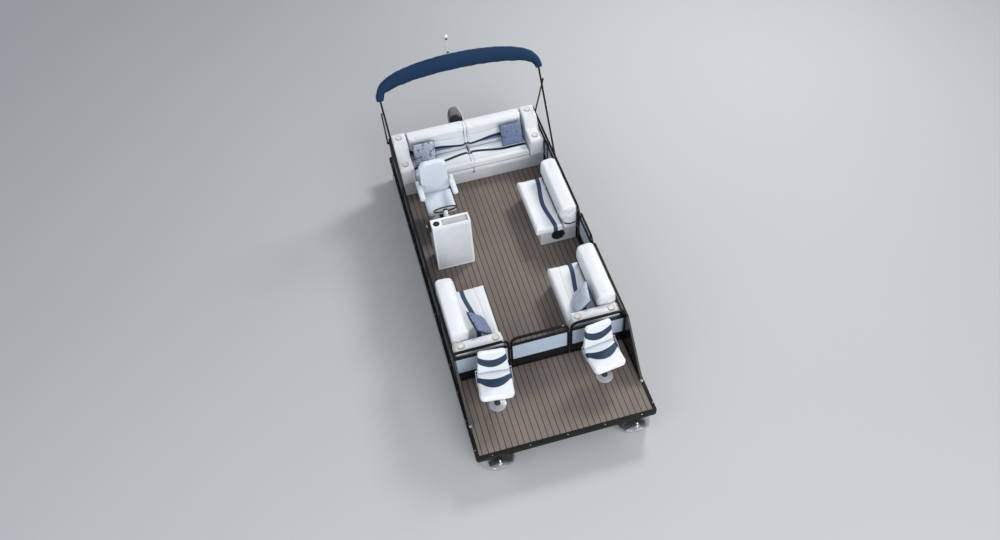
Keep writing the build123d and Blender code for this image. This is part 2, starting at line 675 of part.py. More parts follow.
def helm_chair():
    """Seat, back and armrests of the helm chair."""
    z0 = DECK_TOP
    seat = soft(rectangle(HELM_X - 220, HELM_X + 255, z0 + 390, z0 + 500), 40, "y", HELM_Y - 240, HELM_Y + 240)
    back = [(HELM_X - 220, z0 + 395), (HELM_X - 220, z0 + 520), (HELM_X - 265, z0 + 1080),
            (HELM_X - 345, z0 + 1080), (HELM_X - 325, z0 + 395)]
    back = prism(back, "y", HELM_Y - 245, HELM_Y + 245)
    trim = soft(rectangle(HELM_Y - 245, HELM_Y + 245, z0 + 395, z0 + 1080), 150, "x", HELM_X - 400, HELM_X)
    back = back & trim
    arms = []
    for way in SIDES:
        y0 = HELM_Y + way * 278 - 27
        arm = soft(rectangle(HELM_X - 320, HELM_X + 60, z0 + 658, z0 + 702), 18, "y", y0, y0 + 54)
        middle = HELM_Y + way * 263
        arm += soft(rectangle(HELM_X - 205, HELM_X + 130, middle - 42, middle + 42), 32, "z", z0 + 655, z0 + 712)
        arm += rod((HELM_X - 285, HELM_Y + way * 245, z0 + 680), (HELM_X - 285, HELM_Y + way * 260, z0 + 680), 14)
        arms.append(arm)
    return seat, back, arms


def fishing_chair(way):
    """Seat, hinge plates and folding back of one bow chair, turned a little to its side."""
    top = DECK_TOP + FISH_SEAT_TOP
    half = FISH_HALF
    plan = outline(rectangle(-258, 195, -half, half), "z", top - 95)
    plan = fillet(plan.vertices().sort_by(Axis.X)[-2:], radius=75)
    plan = fillet(plan.vertices().sort_by(Axis.X)[:2], radius=32)
    seat = extrude(plan, amount=95, dir=(0, 0, 1))
    seat = fillet(seat.faces().sort_by(Axis.Z)[-1].edges() + seat.faces().sort_by(Axis.Z)[0].edges(), radius=28)
    x = -FISH_HINGE_BACK
    z = top + FISH_HINGE_UP
    back = [(x - 35, z - 35), (x + 35, z - 35), (x - 5, z + 405), (x - 75, z + 405)]
    back = soft(back, 25, "y", -half, half)
    face = outline([(8 - half, z - 35), (half - 8, z - 35), (half - 48, z + 405), (48 - half, z + 405)], "x", x - 200)
    face = fillet(face.vertices().sort_by(Axis.Z)[-2:], radius=60)
    back = back & extrude(face, amount=400, dir=(1, 0, 0))
    plates = None
    for hand in SIDES:
        near = hand * half
        far = hand * (half + 6)
        arm = prism([(x - 18, z - 18), (x + 18, z + 18), (x + 18, z - 18), (-60, top - 40),
                     (-60, top - 70), (x + 40, top - 70), (x - 18, z - 30)], "y", min(near, far), max(near, far))
        arm += rod((x, hand * (half - 30), z), (x, far, z), FISH_PIN_R)
        plates = arm if plates is None else plates + arm
        back -= rod((x, hand * (half - 35), z), (x, near, z), FISH_PIN_R + BORE_GAP)
    spot = Pos(FISH_X, way * FISH_Y, 0) * Rot(0, 0, way * FISH_TURN)
    return spot * seat, spot * plates, spot * back


# Canopy

def lean(across, along):
    """A point of the raked canopy plane from its distance across and up the leg."""
    angle = math.radians(BIMINI_LEAN)
    return (BIMINI_FOOT_X - along * math.cos(angle), across, DECK_TOP + BIMINI_FOOT_Z + along * math.sin(angle))


def canopy_bow():
    """The port and starboard legs, each with a lug at its foot."""
    hoop = []
    foot = lean(0, 0)
    for way in SIDES:
        leg = rod(lean(FENCE_MIDDLE, 14), lean(BIMINI_HALF, BIMINI_LEG - 60.6), BIMINI_TUBE_R)
        leg -= block(-FAR, FAR, FENCE_MIDDLE + 5, FAR, 0, foot[2] + 26)
        leg -= block(-FAR, FAR, 0, FENCE_MIDDLE - 5, 0, foot[2] + 26)
        eye = Pos(foot[0], FENCE_MIDDLE, foot[2]) * Rot(90, 0, 0) * Cylinder(15, 10)
        leg += eye
        x, y, z = lean(BIMINI_HALF, BRACE_TOP)
        inner = FENCE_MIDDLE + LEG_SPREAD * BRACE_TOP
        leg += rod((x, inner, z), (x, BRACE_Y + 14, z), PIN_R)
        hole = Pos(foot[0], FENCE_MIDDLE, foot[2]) * Rot(90, 0, 0) * Cylinder(PIN_R + BORE_GAP, 40)
        hoop.append(side(leg - hole, way))
    return hoop


def canopy_mounts():
    """Hinge cheeks with a pin on the side rails."""
    made = []
    x, _, z = lean(0, 0)
    for way in SIDES:
        foot = block(x - 30, x + 30, FENCE_MIDDLE - 14, FENCE_MIDDLE + 14, RAIL_TOP, RAIL_TOP + 4)
        for y in (FENCE_MIDDLE - 14, FENCE_MIDDLE + 9):
            foot += block(x - 15, x + 15, y, y + 5, RAIL_TOP, z)
            foot += Pos(x, y + 2.5, z) * Rot(90, 0, 0) * Cylinder(15, 5)
        foot += Pos(x, FENCE_MIDDLE, z) * Rot(90, 0, 0) * Cylinder(PIN_R, 34)
        made.append(side(foot, way))
    return made


def brace_mounts():
    """A plate and an aft lip outside each stern post that a brace's foot is pinned to."""
    made = []
    z = DECK_TOP + BRACE_FOOT_Z
    aft = BRACE_FOOT_X - BRACE_R - 17
    for way in SIDES:
        plate = block(aft, BRACE_FOOT_X + 22, FENCE_OUTER, FENCE_OUTER + 3, z - 60, z + 12)
        lip = block(aft, aft + 8, FENCE_OUTER + 3, BRACE_FOOT_Y + 16, z - 30, z + 12)
        made += [side(plate, way), side(lip, way)]
    return made


def braces():
    """The two rear braces, each hung on a pin of the leg."""
    made = []
    x, _, z = lean(0, BRACE_TOP)
    foot = (BRACE_FOOT_X, BRACE_FOOT_Y, DECK_TOP + BRACE_FOOT_Z)
    for way in SIDES:
        bar = rod((x, BRACE_Y, z), foot, BRACE_R)
        bar += Pos(x, BRACE_Y, z) * Rot(90, 0, 0) * Cylinder(17, 14)
        bar -= Pos(x, BRACE_Y, z) * Rot(90, 0, 0) * Cylinder(PIN_R + BORE_GAP, 60)
        made.append(side(bar, way))
    return made


def canopy_boot():
    """The stowed canopy in its boot, an arch with drooping ends."""
    # columns: distance across, distance up the leg
    outer = [
        (BIMINI_HALF + 62, BIMINI_LEG - 60),
        (BIMINI_HALF + 62, BIMINI_LEG + 110),
        (BIMINI_HALF - 10, BIMINI_LEG + 225),
        (BIMINI_HALF - 130, BIMINI_LEG + 290),
        (620, BIMINI_CROWN + 105),
        (0, BIMINI_CROWN + 140),
    ]
    inner = [
        (0, BIMINI_CROWN - 135),
        (620, BIMINI_CROWN - 160),
        (BIMINI_HALF - 260, BIMINI_LEG + 85),
        (BIMINI_HALF - 130, BIMINI_LEG + 45),
        (BIMINI_HALF - 62, BIMINI_LEG - 60),
    ]
    points = outer + [(-across, along) for across, along in reversed(outer[:-1])]
    points += [(-across, along) for across, along in reversed(inner[1:])] + inner
    angle = math.radians(BIMINI_LEAN)
    plane = Plane(origin=lean(0, 0), x_dir=(0, 1, 0), z_dir=(math.sin(angle), 0, math.cos(angle)))
    boot = extrude(plane * outline(points, "z", 0), amount=BOOT_HALF, both=True)
    return boot


def stern_light():
    """Base, pole and globe of the all-round light on top of the boot."""
    top = BIMINI_CROWN + 136.6
    base = rod(lean(-85, top), lean(-85, top + 26), 22)
    angle = math.radians(BIMINI_LEAN)
    x, y, z = lean(-85, top + 26)
    pole = drum(x, y, z - 20, z + 230, 8)
    collar = drum(x, y, z + 230, z + 262, 20)
    globe = Pos(x, y, z + 262 + 24) * Sphere(28)
    globe = globe & drum(x, y, z + 262, z + 400, 60)
    return base + pole + collar, globe, angle


# Outboard motor

def outboard():
    """Clamp bracket, swivel bracket, leg, cowl and propeller."""
    zt = TRANSOM_TOP
    xt = TRANSOM_X
    clamp = []
    for way in SIDES:
        cheek = prism([(rake_x(zt - 260) - 1, zt - 260), (xt - 30, zt - 250), (xt - 66, zt - 20), (xt - 60, zt + 45),
                       (xt + 62, zt + 45), (xt + 62, zt - 55), (xt + 53, zt - 55), (xt + 53, zt + 1),
                       (rake_x(zt) - 1, zt + 1)], "y", 92, 122)
        pin = Pos(TILT_X, 0, TILT_Z) * Rot(90, 0, 0) * Cylinder(14, 300)
        clamp.append(side(cheek, way) - pin)
    swivel = block(STEER_X, xt - 12, -85, 85, zt - 20, zt + 38)
    swivel += drum(STEER_X, 0, zt - 330, zt + 38, SWIVEL_R)
    swivel += Pos(TILT_X, 0, TILT_Z) * Rot(90, 0, 0) * Cylinder(14 - BORE_GAP, 260)
    bore = drum(STEER_X, 0, zt - 340, zt + 50, STEM_R + BORE_GAP)
    swivel = swivel - bore
    stem = drum(STEER_X, 0, zt - 345, zt + 50, STEM_R)
    bracket = block(STEER_X - 160, STEER_X + 30, -60, 60, zt + 44, zt + 75)
    lower = block(STEER_X - 160, STEER_X + 30, -40, 40, zt - 385, zt - 337)
    leg = prism([(STEER_X - LEG_FRONT, zt + 75), (STEER_X - 225, zt + 75), (STEER_X - 195, -205),
                 (STEER_X - LEG_FRONT, -205)], "y", -50, 50)
    plate = block(STEER_X - 310, STEER_X - 20, -95, 95, -217, -205)
    strut = prism([(STEER_X - 60, -217), (STEER_X - 195, -217), (STEER_X - 180, PROP_Z), (STEER_X - 70, PROP_Z)],
                  "y", -20, 20)
    pod = Pos(STEER_X - 110, 0, PROP_Z) * Rot(0, 90, 0) * Cylinder(42, 220)
    nose = Pos(STEER_X + 35, 0, PROP_Z) * Rot(0, 90, 0) * Cone(42, 12, 70)
    skeg = prism([(STEER_X - 20, PROP_Z - 20), (STEER_X - 200, PROP_Z - 20), (STEER_X - 190, PROP_Z - 170),
                  (STEER_X - 120, PROP_Z - 170)], "y", -6, 6)
    shaft = rod((STEER_X - 200, 0, PROP_Z), (STEER_X - 305, 0, PROP_Z), SHAFT_R)
    middle = stem + bracket + lower + leg + plate + strut + pod + nose + skeg + shaft
    low = zt + 75.3
    # columns: height over the tray, middle in x, length, width, corner radius
    sections = [
        (0.0, -95.0, 300.0, 220.0, 85.0),
        (70.0, -90.0, 385.0, 300.0, 110.0),
        (240.0, -92.0, 402.0, 320.0, 115.0),
        (345.0, -100.0, 360.0, 285.0, 105.0),
        (392.0, -112.0, 270.0, 205.0, 90.0),
        (405.0, -118.0, 190.0, 130.0, 55.0),
    ]
    faces = []
    for height, middle_x, length, width, corner in sections:
        faces.append(Pos(STEER_X + middle_x, 0, low + height) * RectangleRounded(length, width, corner))
    cowl = loft(faces, ruled=True)
    hub = Pos(STEER_X - 256, 0, PROP_Z) * Rot(0, 90, 0) * Cylinder(40, 70)
    prop = hub
    for angle in (0, 120, 240):
        blade = Rot(angle, 0, 0) * Pos(0, 0, 95) * Rot(0, 0, 35) * Box(12, 90, 130)
        prop += Pos(STEER_X - 256, 0, PROP_Z) * blade
    prop -= rod((STEER_X - 200, 0, PROP_Z), (STEER_X - 305, 0, PROP_Z), SHAFT_R + BORE_GAP)
    return clamp, swivel, middle, cowl, prop


def pillow(x, y, turn, tip):
    """A square scatter cushion that leans back, its lowest edge just over the seat."""
    half = PILLOW_SIDE / 2
    sheet = soft(rectangle(-half, half, -half, half), 60, "z", -PILLOW_THICK / 2, PILLOW_THICK / 2)
    sheet = Rot(0, 0, turn) * (Rot(0, tip, 0) * sheet)
    low = sheet.bounding_box().min.Z
    return Pos(x, y, DECK_TOP + SEAT_TOP + REST_GAP - low) * sheet


PILLOW_SIDE = 370.0
PILLOW_THICK = 115.0
# columns: x, y, turn, tip from flat
PILLOWS = [
    (BENCH_FRONT - 285.0, BENCH_ARM_IN - 240.0, 0.0, 66.0),
    (BENCH_FRONT - 285.0, 240.0 - BENCH_ARM_IN, 0.0, 66.0),
    (COUCH_ARM - 211.0, COUCH_BACK_IN - 221.0, 261.0, 58.0),
    (COUCH_ARM - 215.0, 233.0 - COUCH_BACK_IN, 101.0, 52.0),
]

# Write the nodes

tube_port = pontoon()
save("pontoon_port", [tube_port])
save("pontoon_starboard", [side(tube_port, -1)])
save("crossmembers", crossmembers())
save("motor_pod", [motor_pod()])
save("deck", [deck()])
save("deck_trim", deck_trim())
save("trim_bolts", trim_bolts())

pale_panels = []
dark_panels = []
frames = {}
for name, axis, place, start, end, bends, bays in FENCES:
    frames.setdefault(name, []).append(fence(axis, place, start, end, bends, bays))
    pale_panels += panel(axis, place, start, end, bays, KICK_TOP, FENCE_MID - PANEL_INSET)
    dark_panels += panel(axis, place, start, end, bays, FENCE_TUBE + PANEL_INSET, KICK_TOP - PANEL_INSET)
save("panels_upper", pale_panels)
save("panels_lower", dark_panels)
save("bow_side_rails", bow_side_rails())
save("rail_feet", rail_feet())
BOW_HINGE = (BOW_PLACE - GATE_SWING, -GATE_POST + 5)
SIDE_HINGE = (SIDE_GATE_FORE - 3, SIDE_PLACE - GATE_SWING)
bow_leaf, bow_post = hinge_pair(BOW_HINGE, (BOW_HINGE[0] - 3, BOW_PLACE, BOW_HINGE[1], BOW_HINGE[1] + 25),
                                (BOW_HINGE[0] - 3, BOW_PLACE, BOW_HINGE[1] - 25, BOW_HINGE[1]))
side_leaf, side_post = hinge_pair(SIDE_HINGE, (SIDE_HINGE[0] - 25, SIDE_HINGE[0], SIDE_HINGE[1] - 3, SIDE_PLACE),
                                  (SIDE_HINGE[0], SIDE_HINGE[0] + 25, SIDE_HINGE[1] - 3, SIDE_PLACE))
for name, axis, place, leaf, knuckles in (("bow_gate", "x", BOW_PLACE, BOW_LEAF, bow_leaf),
                                          ("side_gate", "y", SIDE_PLACE, SIDE_LEAF, side_leaf)):
    frame, pale, dark = gate(axis, place, leaf)
    for knuckle in knuckles:
        frame += knuckle
    save(name + "_frame", [frame])
    save(name + "_panels", pale + dark)

for pin in bow_post:
    frames["rail_bow"][0] += pin
for pin in side_post:
    frames["rail_port"][0] += pin
for name, made in frames.items():
    save(name, made)

base, seat, back, arm = couch_parts()
save("couch_bases", [side(base, way) for way in SIDES])
save("couch_seats", [side(seat, way) for way in SIDES])
save("couch_backs", [side(back, way) for way in SIDES])
save("couch_arms", [side(arm, way) for way in SIDES])
base, seat, back, speaker = lounge_parts()
save("lounge_base", [base])
save("lounge_seat", [seat])
save("lounge_back", [back])
save("lounge_speaker", [speaker])
save("lounge_hinges", lounge_hinges())
base, seats, backs, arms = bench_parts()
save("bench_base", [base])
save("bench_seats", seats)
save("bench_backs", backs)
save("bench_arms", arms)

save("console", [console() + helm_column()])
save("steering_wheel", [steering_wheel()])
gauges, throttle = dash_controls()
save("gauges", gauges)
save("throttle", [throttle])
save("helm_pedestal", [pedestal(HELM_X, HELM_Y, DECK_TOP + 389.7, 160, 35)])
seat, back, arms = helm_chair()
save("helm_seat", [seat])
save("helm_back", [back])
save("helm_arms", arms)
save("fishing_pedestals", [pedestal(FISH_X, way * FISH_Y, DECK_TOP + FISH_SEAT_TOP - 95.3, 125, 28) for way in SIDES])
for label, way in (("starboard", -1), ("port", 1)):
    seat, plates, back = fishing_chair(way)
    save("fishing_seat_" + label, [seat])
    save("fishing_hinges_" + label, [plates])
    save("fishing_back_" + label, [back])

save("bimini_bow", canopy_bow())
save("bimini_boot", [canopy_boot()])
save("bimini_mounts", canopy_mounts() + brace_mounts())
save("bimini_braces", braces())
pole, globe, _ = stern_light()
save("light_pole", [pole])
save("light_globe", [globe])
clamp, swivel, middle, cowl, prop = outboard()
save("outboard_clamp", clamp)
save("outboard_swivel", [swivel])
save("outboard_leg", [middle])
save("outboard_cowl", [cowl])
save("propeller", [prop])
save("pillows", [pillow(x, y, turn, tip) for x, y, turn, tip in PILLOWS])
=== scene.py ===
import bmesh
import bpy
import math
import numpy as np
from mathutils import Matrix, Vector
from mathutils.bvhtree import BVHTree


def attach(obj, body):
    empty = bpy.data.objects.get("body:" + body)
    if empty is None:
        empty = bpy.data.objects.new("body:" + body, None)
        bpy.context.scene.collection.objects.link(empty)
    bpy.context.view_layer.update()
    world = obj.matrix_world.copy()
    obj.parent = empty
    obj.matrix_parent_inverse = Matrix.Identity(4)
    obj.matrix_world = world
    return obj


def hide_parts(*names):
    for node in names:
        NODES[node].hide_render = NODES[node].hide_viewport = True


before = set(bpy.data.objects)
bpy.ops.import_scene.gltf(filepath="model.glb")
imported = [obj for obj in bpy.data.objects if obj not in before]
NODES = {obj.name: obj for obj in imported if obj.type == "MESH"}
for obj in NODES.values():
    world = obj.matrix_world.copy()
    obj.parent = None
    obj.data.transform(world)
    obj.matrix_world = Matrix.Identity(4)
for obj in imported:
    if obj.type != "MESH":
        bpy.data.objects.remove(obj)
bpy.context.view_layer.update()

# Places and sizes that several pieces share, in metres
DECK = 0.480
CUP_R = 0.042
CUP_DEPTH = 0.065
ARM_TOP = DECK + 0.650
COUCH_CUPS = [(1.5175, 0.600, ARM_TOP), (1.5175, 1.105, ARM_TOP)]
BENCH_CUPS = [(-2.230, 1.1035, ARM_TOP), (-2.660, 1.1035, DECK + 0.850)]
BENCH_SEAM_X = -2.215
CHAIR_X = 2.186
CHAIR_Y = 0.790
CHAIR_TURN = math.radians(7.0)
HELM_Y = -0.740
CONSOLE_Y = -0.737
CONSOLE_HALF = 0.295
CONSOLE_FRONT = -0.418
KICK_Z = 0.683
STEER_X = -3.335
PROP_Z = -0.395

# Arcs across the bow chairs' pads: height or place at the middle, and bend
SEAT_ARCS = ((-0.110, -1.15), (0.026, -2.3))
BACK_ARCS = ((1.096, 2.9), (1.250, 2.4))

# Linear colours
WHITE = (0.80, 0.82, 0.85)
NAVY = (0.008, 0.017, 0.058)
SLATE = (0.045, 0.076, 0.150)
DEEP_SLATE = (0.022, 0.048, 0.092)
STEEL_BLUE = (0.105, 0.200, 0.350)
PAINTED_SHADE_BLUE = (0.30, 0.42, 0.58)
PANEL_BLUE = (0.46, 0.55, 0.66)
KICK_BLACK = (0.005, 0.005, 0.006)

MATERIALS = {}


# Materials

class Signal:
    """A node's output that arithmetic can be done on."""

    def __init__(self, net, socket):
        self.net = net
        self.socket = socket

    def __add__(self, other):
        return self.net.math("ADD", self, other)

    def __sub__(self, other):
        return self.net.math("SUBTRACT", self, other)

    def __rsub__(self, other):
        return self.net.math("SUBTRACT", other, self)

    def __mul__(self, other):
        return self.net.math("MULTIPLY", self, other)

    def __pow__(self, power):
        """An even power."""
        return self.net.math("POWER", abs(self), float(power))

    def __abs__(self):
        return self.net.math("ABSOLUTE", self)


class Net:
    """One procedural material while it is put together."""

    def __init__(self, name, colour, roughness, metallic=0.0, **constants):
        self.material = MATERIALS[name] = bpy.data.materials.new(name)
        self.material.use_nodes = True
        self.material.diffuse_color = (*colour, 1.0)
        self.tree = self.material.node_tree
        self.shader = self.tree.nodes["Principled BSDF"]
        self.set(Base_Color=colour, Roughness=roughness, Metallic=metallic, **constants)
        self.place = self.add("TexCoord").outputs["Object"]
        self.parts = None

    def add(self, kind, wires=None, **settings):
        node = self.tree.nodes.new("ShaderNode" + kind)
        for key, value in settings.items():
            setattr(node, key, value)
        for key, value in (wires or {}).items():
            self.feed(node.inputs[key], value)
        return node

    def feed(self, socket, value):
        if isinstance(value, Signal):
            value = value.socket
        if isinstance(value, bpy.types.NodeSocket):
            self.tree.links.new(value, socket)
        elif isinstance(value, tuple) and socket.type == "RGBA":
            socket.default_value = (*value[:3], 1.0)
        else:
            socket.default_value = value

    def set(self, **wires):
        for socket, value in wires.items():
            self.feed(self.shader.inputs[socket.replace("_", " ")], value)

    def wired(self, socket):
        """What already feeds one of the shader's sockets."""
        return self.shader.inputs[socket].links[0].from_socket

    def math(self, operation, a, b=None, clamp=False):
        node = self.add("Math", operation=operation, use_clamp=clamp)
        for index, value in enumerate((a, b)):
            if value is not None:
                self.feed(node.inputs[index], value)
        return Signal(self, node.outputs[0])

    def axis(self, name):
        if self.parts is None:
            self.parts = self.add("SeparateXYZ", {"Vector": self.place})
        return Signal(self, self.parts.outputs[name])

    def stretched(self, stretch):
        if stretch is None:
            return self.place
        return self.add("VectorMath", {0: self.place, 1: stretch}, operation="MULTIPLY").outputs[0]

    def noise(self, scale, detail=3.0, roughness=0.55, stretch=None):
        wires = {"Vector": self.stretched(stretch), "Scale": scale, "Detail": detail, "Roughness": roughness}
        return Signal(self, self.add("TexNoise", wires).outputs[0])

    def cells(self, scale):
        node = self.add("TexVoronoi", {"Vector": self.place, "Scale": scale})
        return Signal(self, node.outputs["Distance"])

    def step(self, value, low, high):
        """0 at low and 1 at high, smooth between."""
        node = self.add("MapRange", {"Value": value, "From Min": low, "From Max": high},
                        interpolation_type="SMOOTHSTEP")
        return Signal(self, node.outputs["Result"])

    def near(self, distance, half, blur=0.0015):
        """1 where the distance is within half, else 0."""
        return self.step(abs(distance), half + blur, half - blur)

    def mix(self, share, a, b):
        node = self.add("Mix", {0: share, 6: a, 7: b}, data_type="RGBA")
        return Signal(self, node.outputs[2])

    def either(self, share, a, b):
        """A number that goes from a to b with the share."""
        node = self.add("MapRange", {"Value": share, "To Min": a, "To Max": b})
        return Signal(self, node.outputs["Result"])

    def bump(self, height, distance, strength=1.0, normal=None):
        wires = {"Height": height, "Distance": distance, "Strength": strength}
        if normal is not None:
            wires["Normal"] = normal
        return Signal(self, self.add("Bump", wires).outputs["Normal"])

    def round_edges(self, radius):
        return Signal(self, self.add("Bevel", {"Radius": radius}, samples=4).outputs["Normal"])

    def edge(self, rounded, gain):
        """1 on the rounded edges and 0 on the flats."""
        flat = self.add("NewGeometry").outputs["Normal"]
        dot = self.add("VectorMath", {0: rounded, 1: flat}, operation="DOT_PRODUCT").outputs["Value"]
        return self.math("MULTIPLY", self.math("SUBTRACT", 1.0, dot), gain, clamp=True)

    def painted_corner_shade(self, shade, reach, corner, open_air, share, corner_shade):
        """The colour with painted shade in the corners: darker where ambient occlusion finds them, as far as
        the reach.
        """
        ao = Signal(self, self.add("AmbientOcclusion", {"Distance": reach}, samples=4).outputs["AO"])
        return self.mix(self.either(self.step(ao, corner, open_air), share, 0.0), shade, corner_shade)


def scaled(colour, share, lift=0.0):
    return tuple(min(1.0, c * share + lift) for c in colour)


def coated(name, colour, roughness=0.4, edge_colour=None, radius=0.002, grain=(900.0, 0.00012), speckle=0.06,
           corner_shade=0.25, metallic=0.0, **constants):
    """Paint or moulded plastic: fine grain, soft edges with wear, patchy sheen and painted shade in the
    corners.
    """
    net = Net(name, colour, roughness, metallic, **constants)
    patch = net.noise(2.3, 4.0)
    fine = net.noise(60.0)
    scratch = net.noise(35.0, 2.0, stretch=(1.0, 14.0, 9.0))
    rounded = net.round_edges(radius)
    light = scaled(colour, 1 + speckle, speckle * 0.02)
    shade = net.mix(net.step(patch + (fine - 0.5) * 0.4, 0.25, 0.75), scaled(colour, 1 - speckle * 2), light)
    if edge_colour:
        worn = net.edge(rounded, 2.2) * net.step(fine + (patch - 0.5) * 0.5, 0.50, 0.66)
        shade = net.mix(worn, shade, edge_colour)
    uneven = net.step(patch, 0.3, 0.7) * 0.08 + scratch * 0.10
    # painted shade: darker in the corners, from ambient occlusion
    net.set(Base_Color=net.painted_corner_shade(shade, 0.05, 0.25, 0.8, corner_shade, scaled(colour, 0.35, 0.012)),
            Roughness=net.math("ADD", roughness - 0.09, uneven, clamp=True),
            Normal=net.bump(net.noise(grain[0], 2.0) + scratch * 0.3, grain[1], 1.0, rounded))
    return net


def metal(name, colour, roughness, brush, stain, radius=0.002):
    """Bare metal: brushed lines, faint stains and dull handling marks, brighter edges."""
    net = Net(name, colour, roughness, 1.0)
    lines = net.noise(9.0, 4.0, 0.7, stretch=brush)
    cloud = net.noise(3.2, 5.0)
    rounded = net.round_edges(radius)
    shade = net.mix(net.step(cloud, 0.46, 0.72) * 0.45, colour, stain)
    shade = net.mix(net.edge(rounded, 1.6) * 0.5, shade, scaled(colour, 1.15))
    dull = lines * 0.10 + net.step(cloud, 0.4, 0.7) * 0.12
    # painted shade: darker in the corners, from ambient occlusion
    net.set(Base_Color=net.painted_corner_shade(shade, 0.06, 0.2, 0.85, 0.45, (0.05, 0.048, 0.045)),
            Roughness=net.math("ADD", roughness - 0.08, dull, clamp=True),
            Normal=net.bump(lines, 0.00012, 1.0, rounded))
    return net


def vinyl(name, pattern=None, colour=WHITE):
    """Marine vinyl with a leather grain, soft wrinkles, coloured stripes and sewn lines.

    pattern(net) gives the stripes, as pairs of mask and colour, and the seams, as pairs of distance from the
    sewn line and place along it."""
    net = Net(name, colour, 0.45, Specular_IOR_Level=0.28, Coat_Weight=0.02, Coat_Roughness=0.3,
              Sheen_Weight=0.02)
    stripes, seams = pattern(net) if pattern else ((), ())
    broad = net.noise(3.0, 4.0)
    wrinkle = net.noise(26.0, 3.0, 0.5)
    grain = net.cells(620.0)
    pores = net.noise(1500.0, 1.0)
    shade = net.mix(net.step(broad, 0.3, 0.75), scaled(colour, 0.94), colour)
    height = grain * 0.35 + pores * 0.15 + net.step(wrinkle, 0.35, 0.8) * 1.6
    for mask, tint in stripes:
        cloth = net.mix(net.step(broad + (pores - 0.5) * 0.6, 0.3, 0.7), scaled(tint, 0.8), tint)
        shade = net.mix(mask, shade, cloth)
    stitch = 0.0065
    for gap, along in seams:
        groove = net.near(gap, 0.0016, 0.0030)
        twin = net.near(abs(gap) - stitch, 0.0009, 0.0004)
        thread = twin * net.step(net.math("SINE", along * (2 * math.pi / stitch)), -0.25, 0.25)
        # painted shade: the seam groove darkened grey-blue
        shade = net.mix(groove * 0.65, shade, (0.20, 0.22, 0.26))
        shade = net.mix(thread * 0.5, shade, (0.50, 0.53, 0.58))
        height = height - groove * 5.0 + thread * 1.4
    # painted shade: darker in the creases and corners, from ambient occlusion
    net.set(Base_Color=net.painted_corner_shade(shade, 0.035, 0.15, 0.75, 0.12, (0.34, 0.36, 0.42)),
            Roughness=net.math("ADD", 0.34, broad * 0.08 + grain * 0.14, clamp=True),
            Normal=net.bump(height, 0.00035, 0.8))


def woven(name, tints, pitch=0.0036, space="Object", roughness=0.9, fuzz=0.1, speck=0.5, blooms=()):
    """Woven cloth: crossing yarns, uneven dye, flecks and printed blooms (scale, threshold, colour)."""
    net = Net(name, tints[0], roughness, Sheen_Weight=fuzz, Sheen_Roughness=0.5, Specular_IOR_Level=0.2)
    if space == "UV":
        net.place = net.add("TexCoord").outputs["UV"]
    warp, weft = (net.math("SINE", net.axis(axis) * (2 * math.pi / pitch)) for axis in "XY")
    yarn = net.noise(1 / pitch, 2.0, stretch=(1.0, 0.15, 1.0))
    cross = net.noise(1 / pitch, 2.0, stretch=(0.15, 1.0, 1.0))
    fleck = net.noise(0.35 / pitch, 2.0)
    cloud = net.noise(4.0, 4.0)
    shade = net.mix(net.step(yarn * 0.5 + cross * 0.5, 0.40, 0.60), tints[0], tints[1])
    shade = net.mix(net.step(fleck, 0.52, 0.60) * speck, shade, tints[2])
    shade = net.mix(net.step(cloud, 0.35, 0.7) * 0.25, shade, tints[1])
    for scale, threshold, tint in blooms:
        shade = net.mix(net.step(net.noise(scale, 2.0), threshold, threshold + 0.03), shade, tint)
    # painted shade: darker in the folds and corners, from ambient occlusion
    net.set(Base_Color=net.painted_corner_shade(shade, 0.04, 0.2, 0.85, 0.45, scaled(tints[0], 0.3)),
            Normal=net.bump(warp * weft * 0.6 + yarn * 0.4 + cross * 0.4, pitch * 0.35, 0.8))


# Stripes and seams, drawn where a distance from their line is zero

def edged(net, gap, half):
    """A slate stripe with navy edges."""
    rim = 0.0045
    return [(net.near(gap, half), SLATE), (net.near(abs(gap) - (half - rim), rim), NAVY)]


def beside(gap, half, along):
    """Sewn lines along both edges of a stripe."""
    return [(gap - half, along), (gap + half, along)]


def couch_bend(x):
    """The rolled line along a couch's seat."""
    return (x - 0.95) ** 2 * 0.125 + 0.634


def couch_pattern(net):
    x, y = net.axis("X"), abs(net.axis("Y"))
    gap = y - (net.math("COSINE", (x - 0.45) * (math.pi / 0.6)) * 0.038 + 0.805)
    return edged(net, gap, 0.032), beside(gap, 0.032, x) + [(y - couch_bend(x), x)]


def lounge_pattern(net):
    x, y = net.axis("X"), net.axis("Y")
    wave = net.math("COSINE", (x + 1.45) * (math.pi / 0.56)) * 0.028 + 0.846
    gap = y - wave - net.step(x, -0.75, -1.45) * 0.02
    return edged(net, gap, 0.033), beside(gap, 0.033, x)


def side_back_pattern(net):
    """The navy line along the foot of a side back, wider toward the bow."""
    z = net.axis("Z")
    wide = net.step(net.axis("X"), 0.40, 1.10) * 0.022 + 0.012
    return [(net.step(z - wide, 0.918, 0.915) * net.step(z, 0.895, 0.898), NAVY)], ()


def bench_seat_pattern(net):
    x, y = net.axis("X"), abs(net.axis("Y"))
    gap = x - (net.step(y, 0.03, 0.62) * 0.09 - 2.392)
    peak = net.step(y, 0.05, 0.0) * 0.014
    # painted shade: the rear of the seat beside the backrest tinted steel blue
    tint = net.step(x, -2.412, -2.418) * net.step(y, 0.12, 0.5) * 0.25
    return ([(net.near(gap - peak, 0.026), NAVY), (tint, STEEL_BLUE)],
            beside(gap, 0.026, y) + [(x - BENCH_SEAM_X, y)])


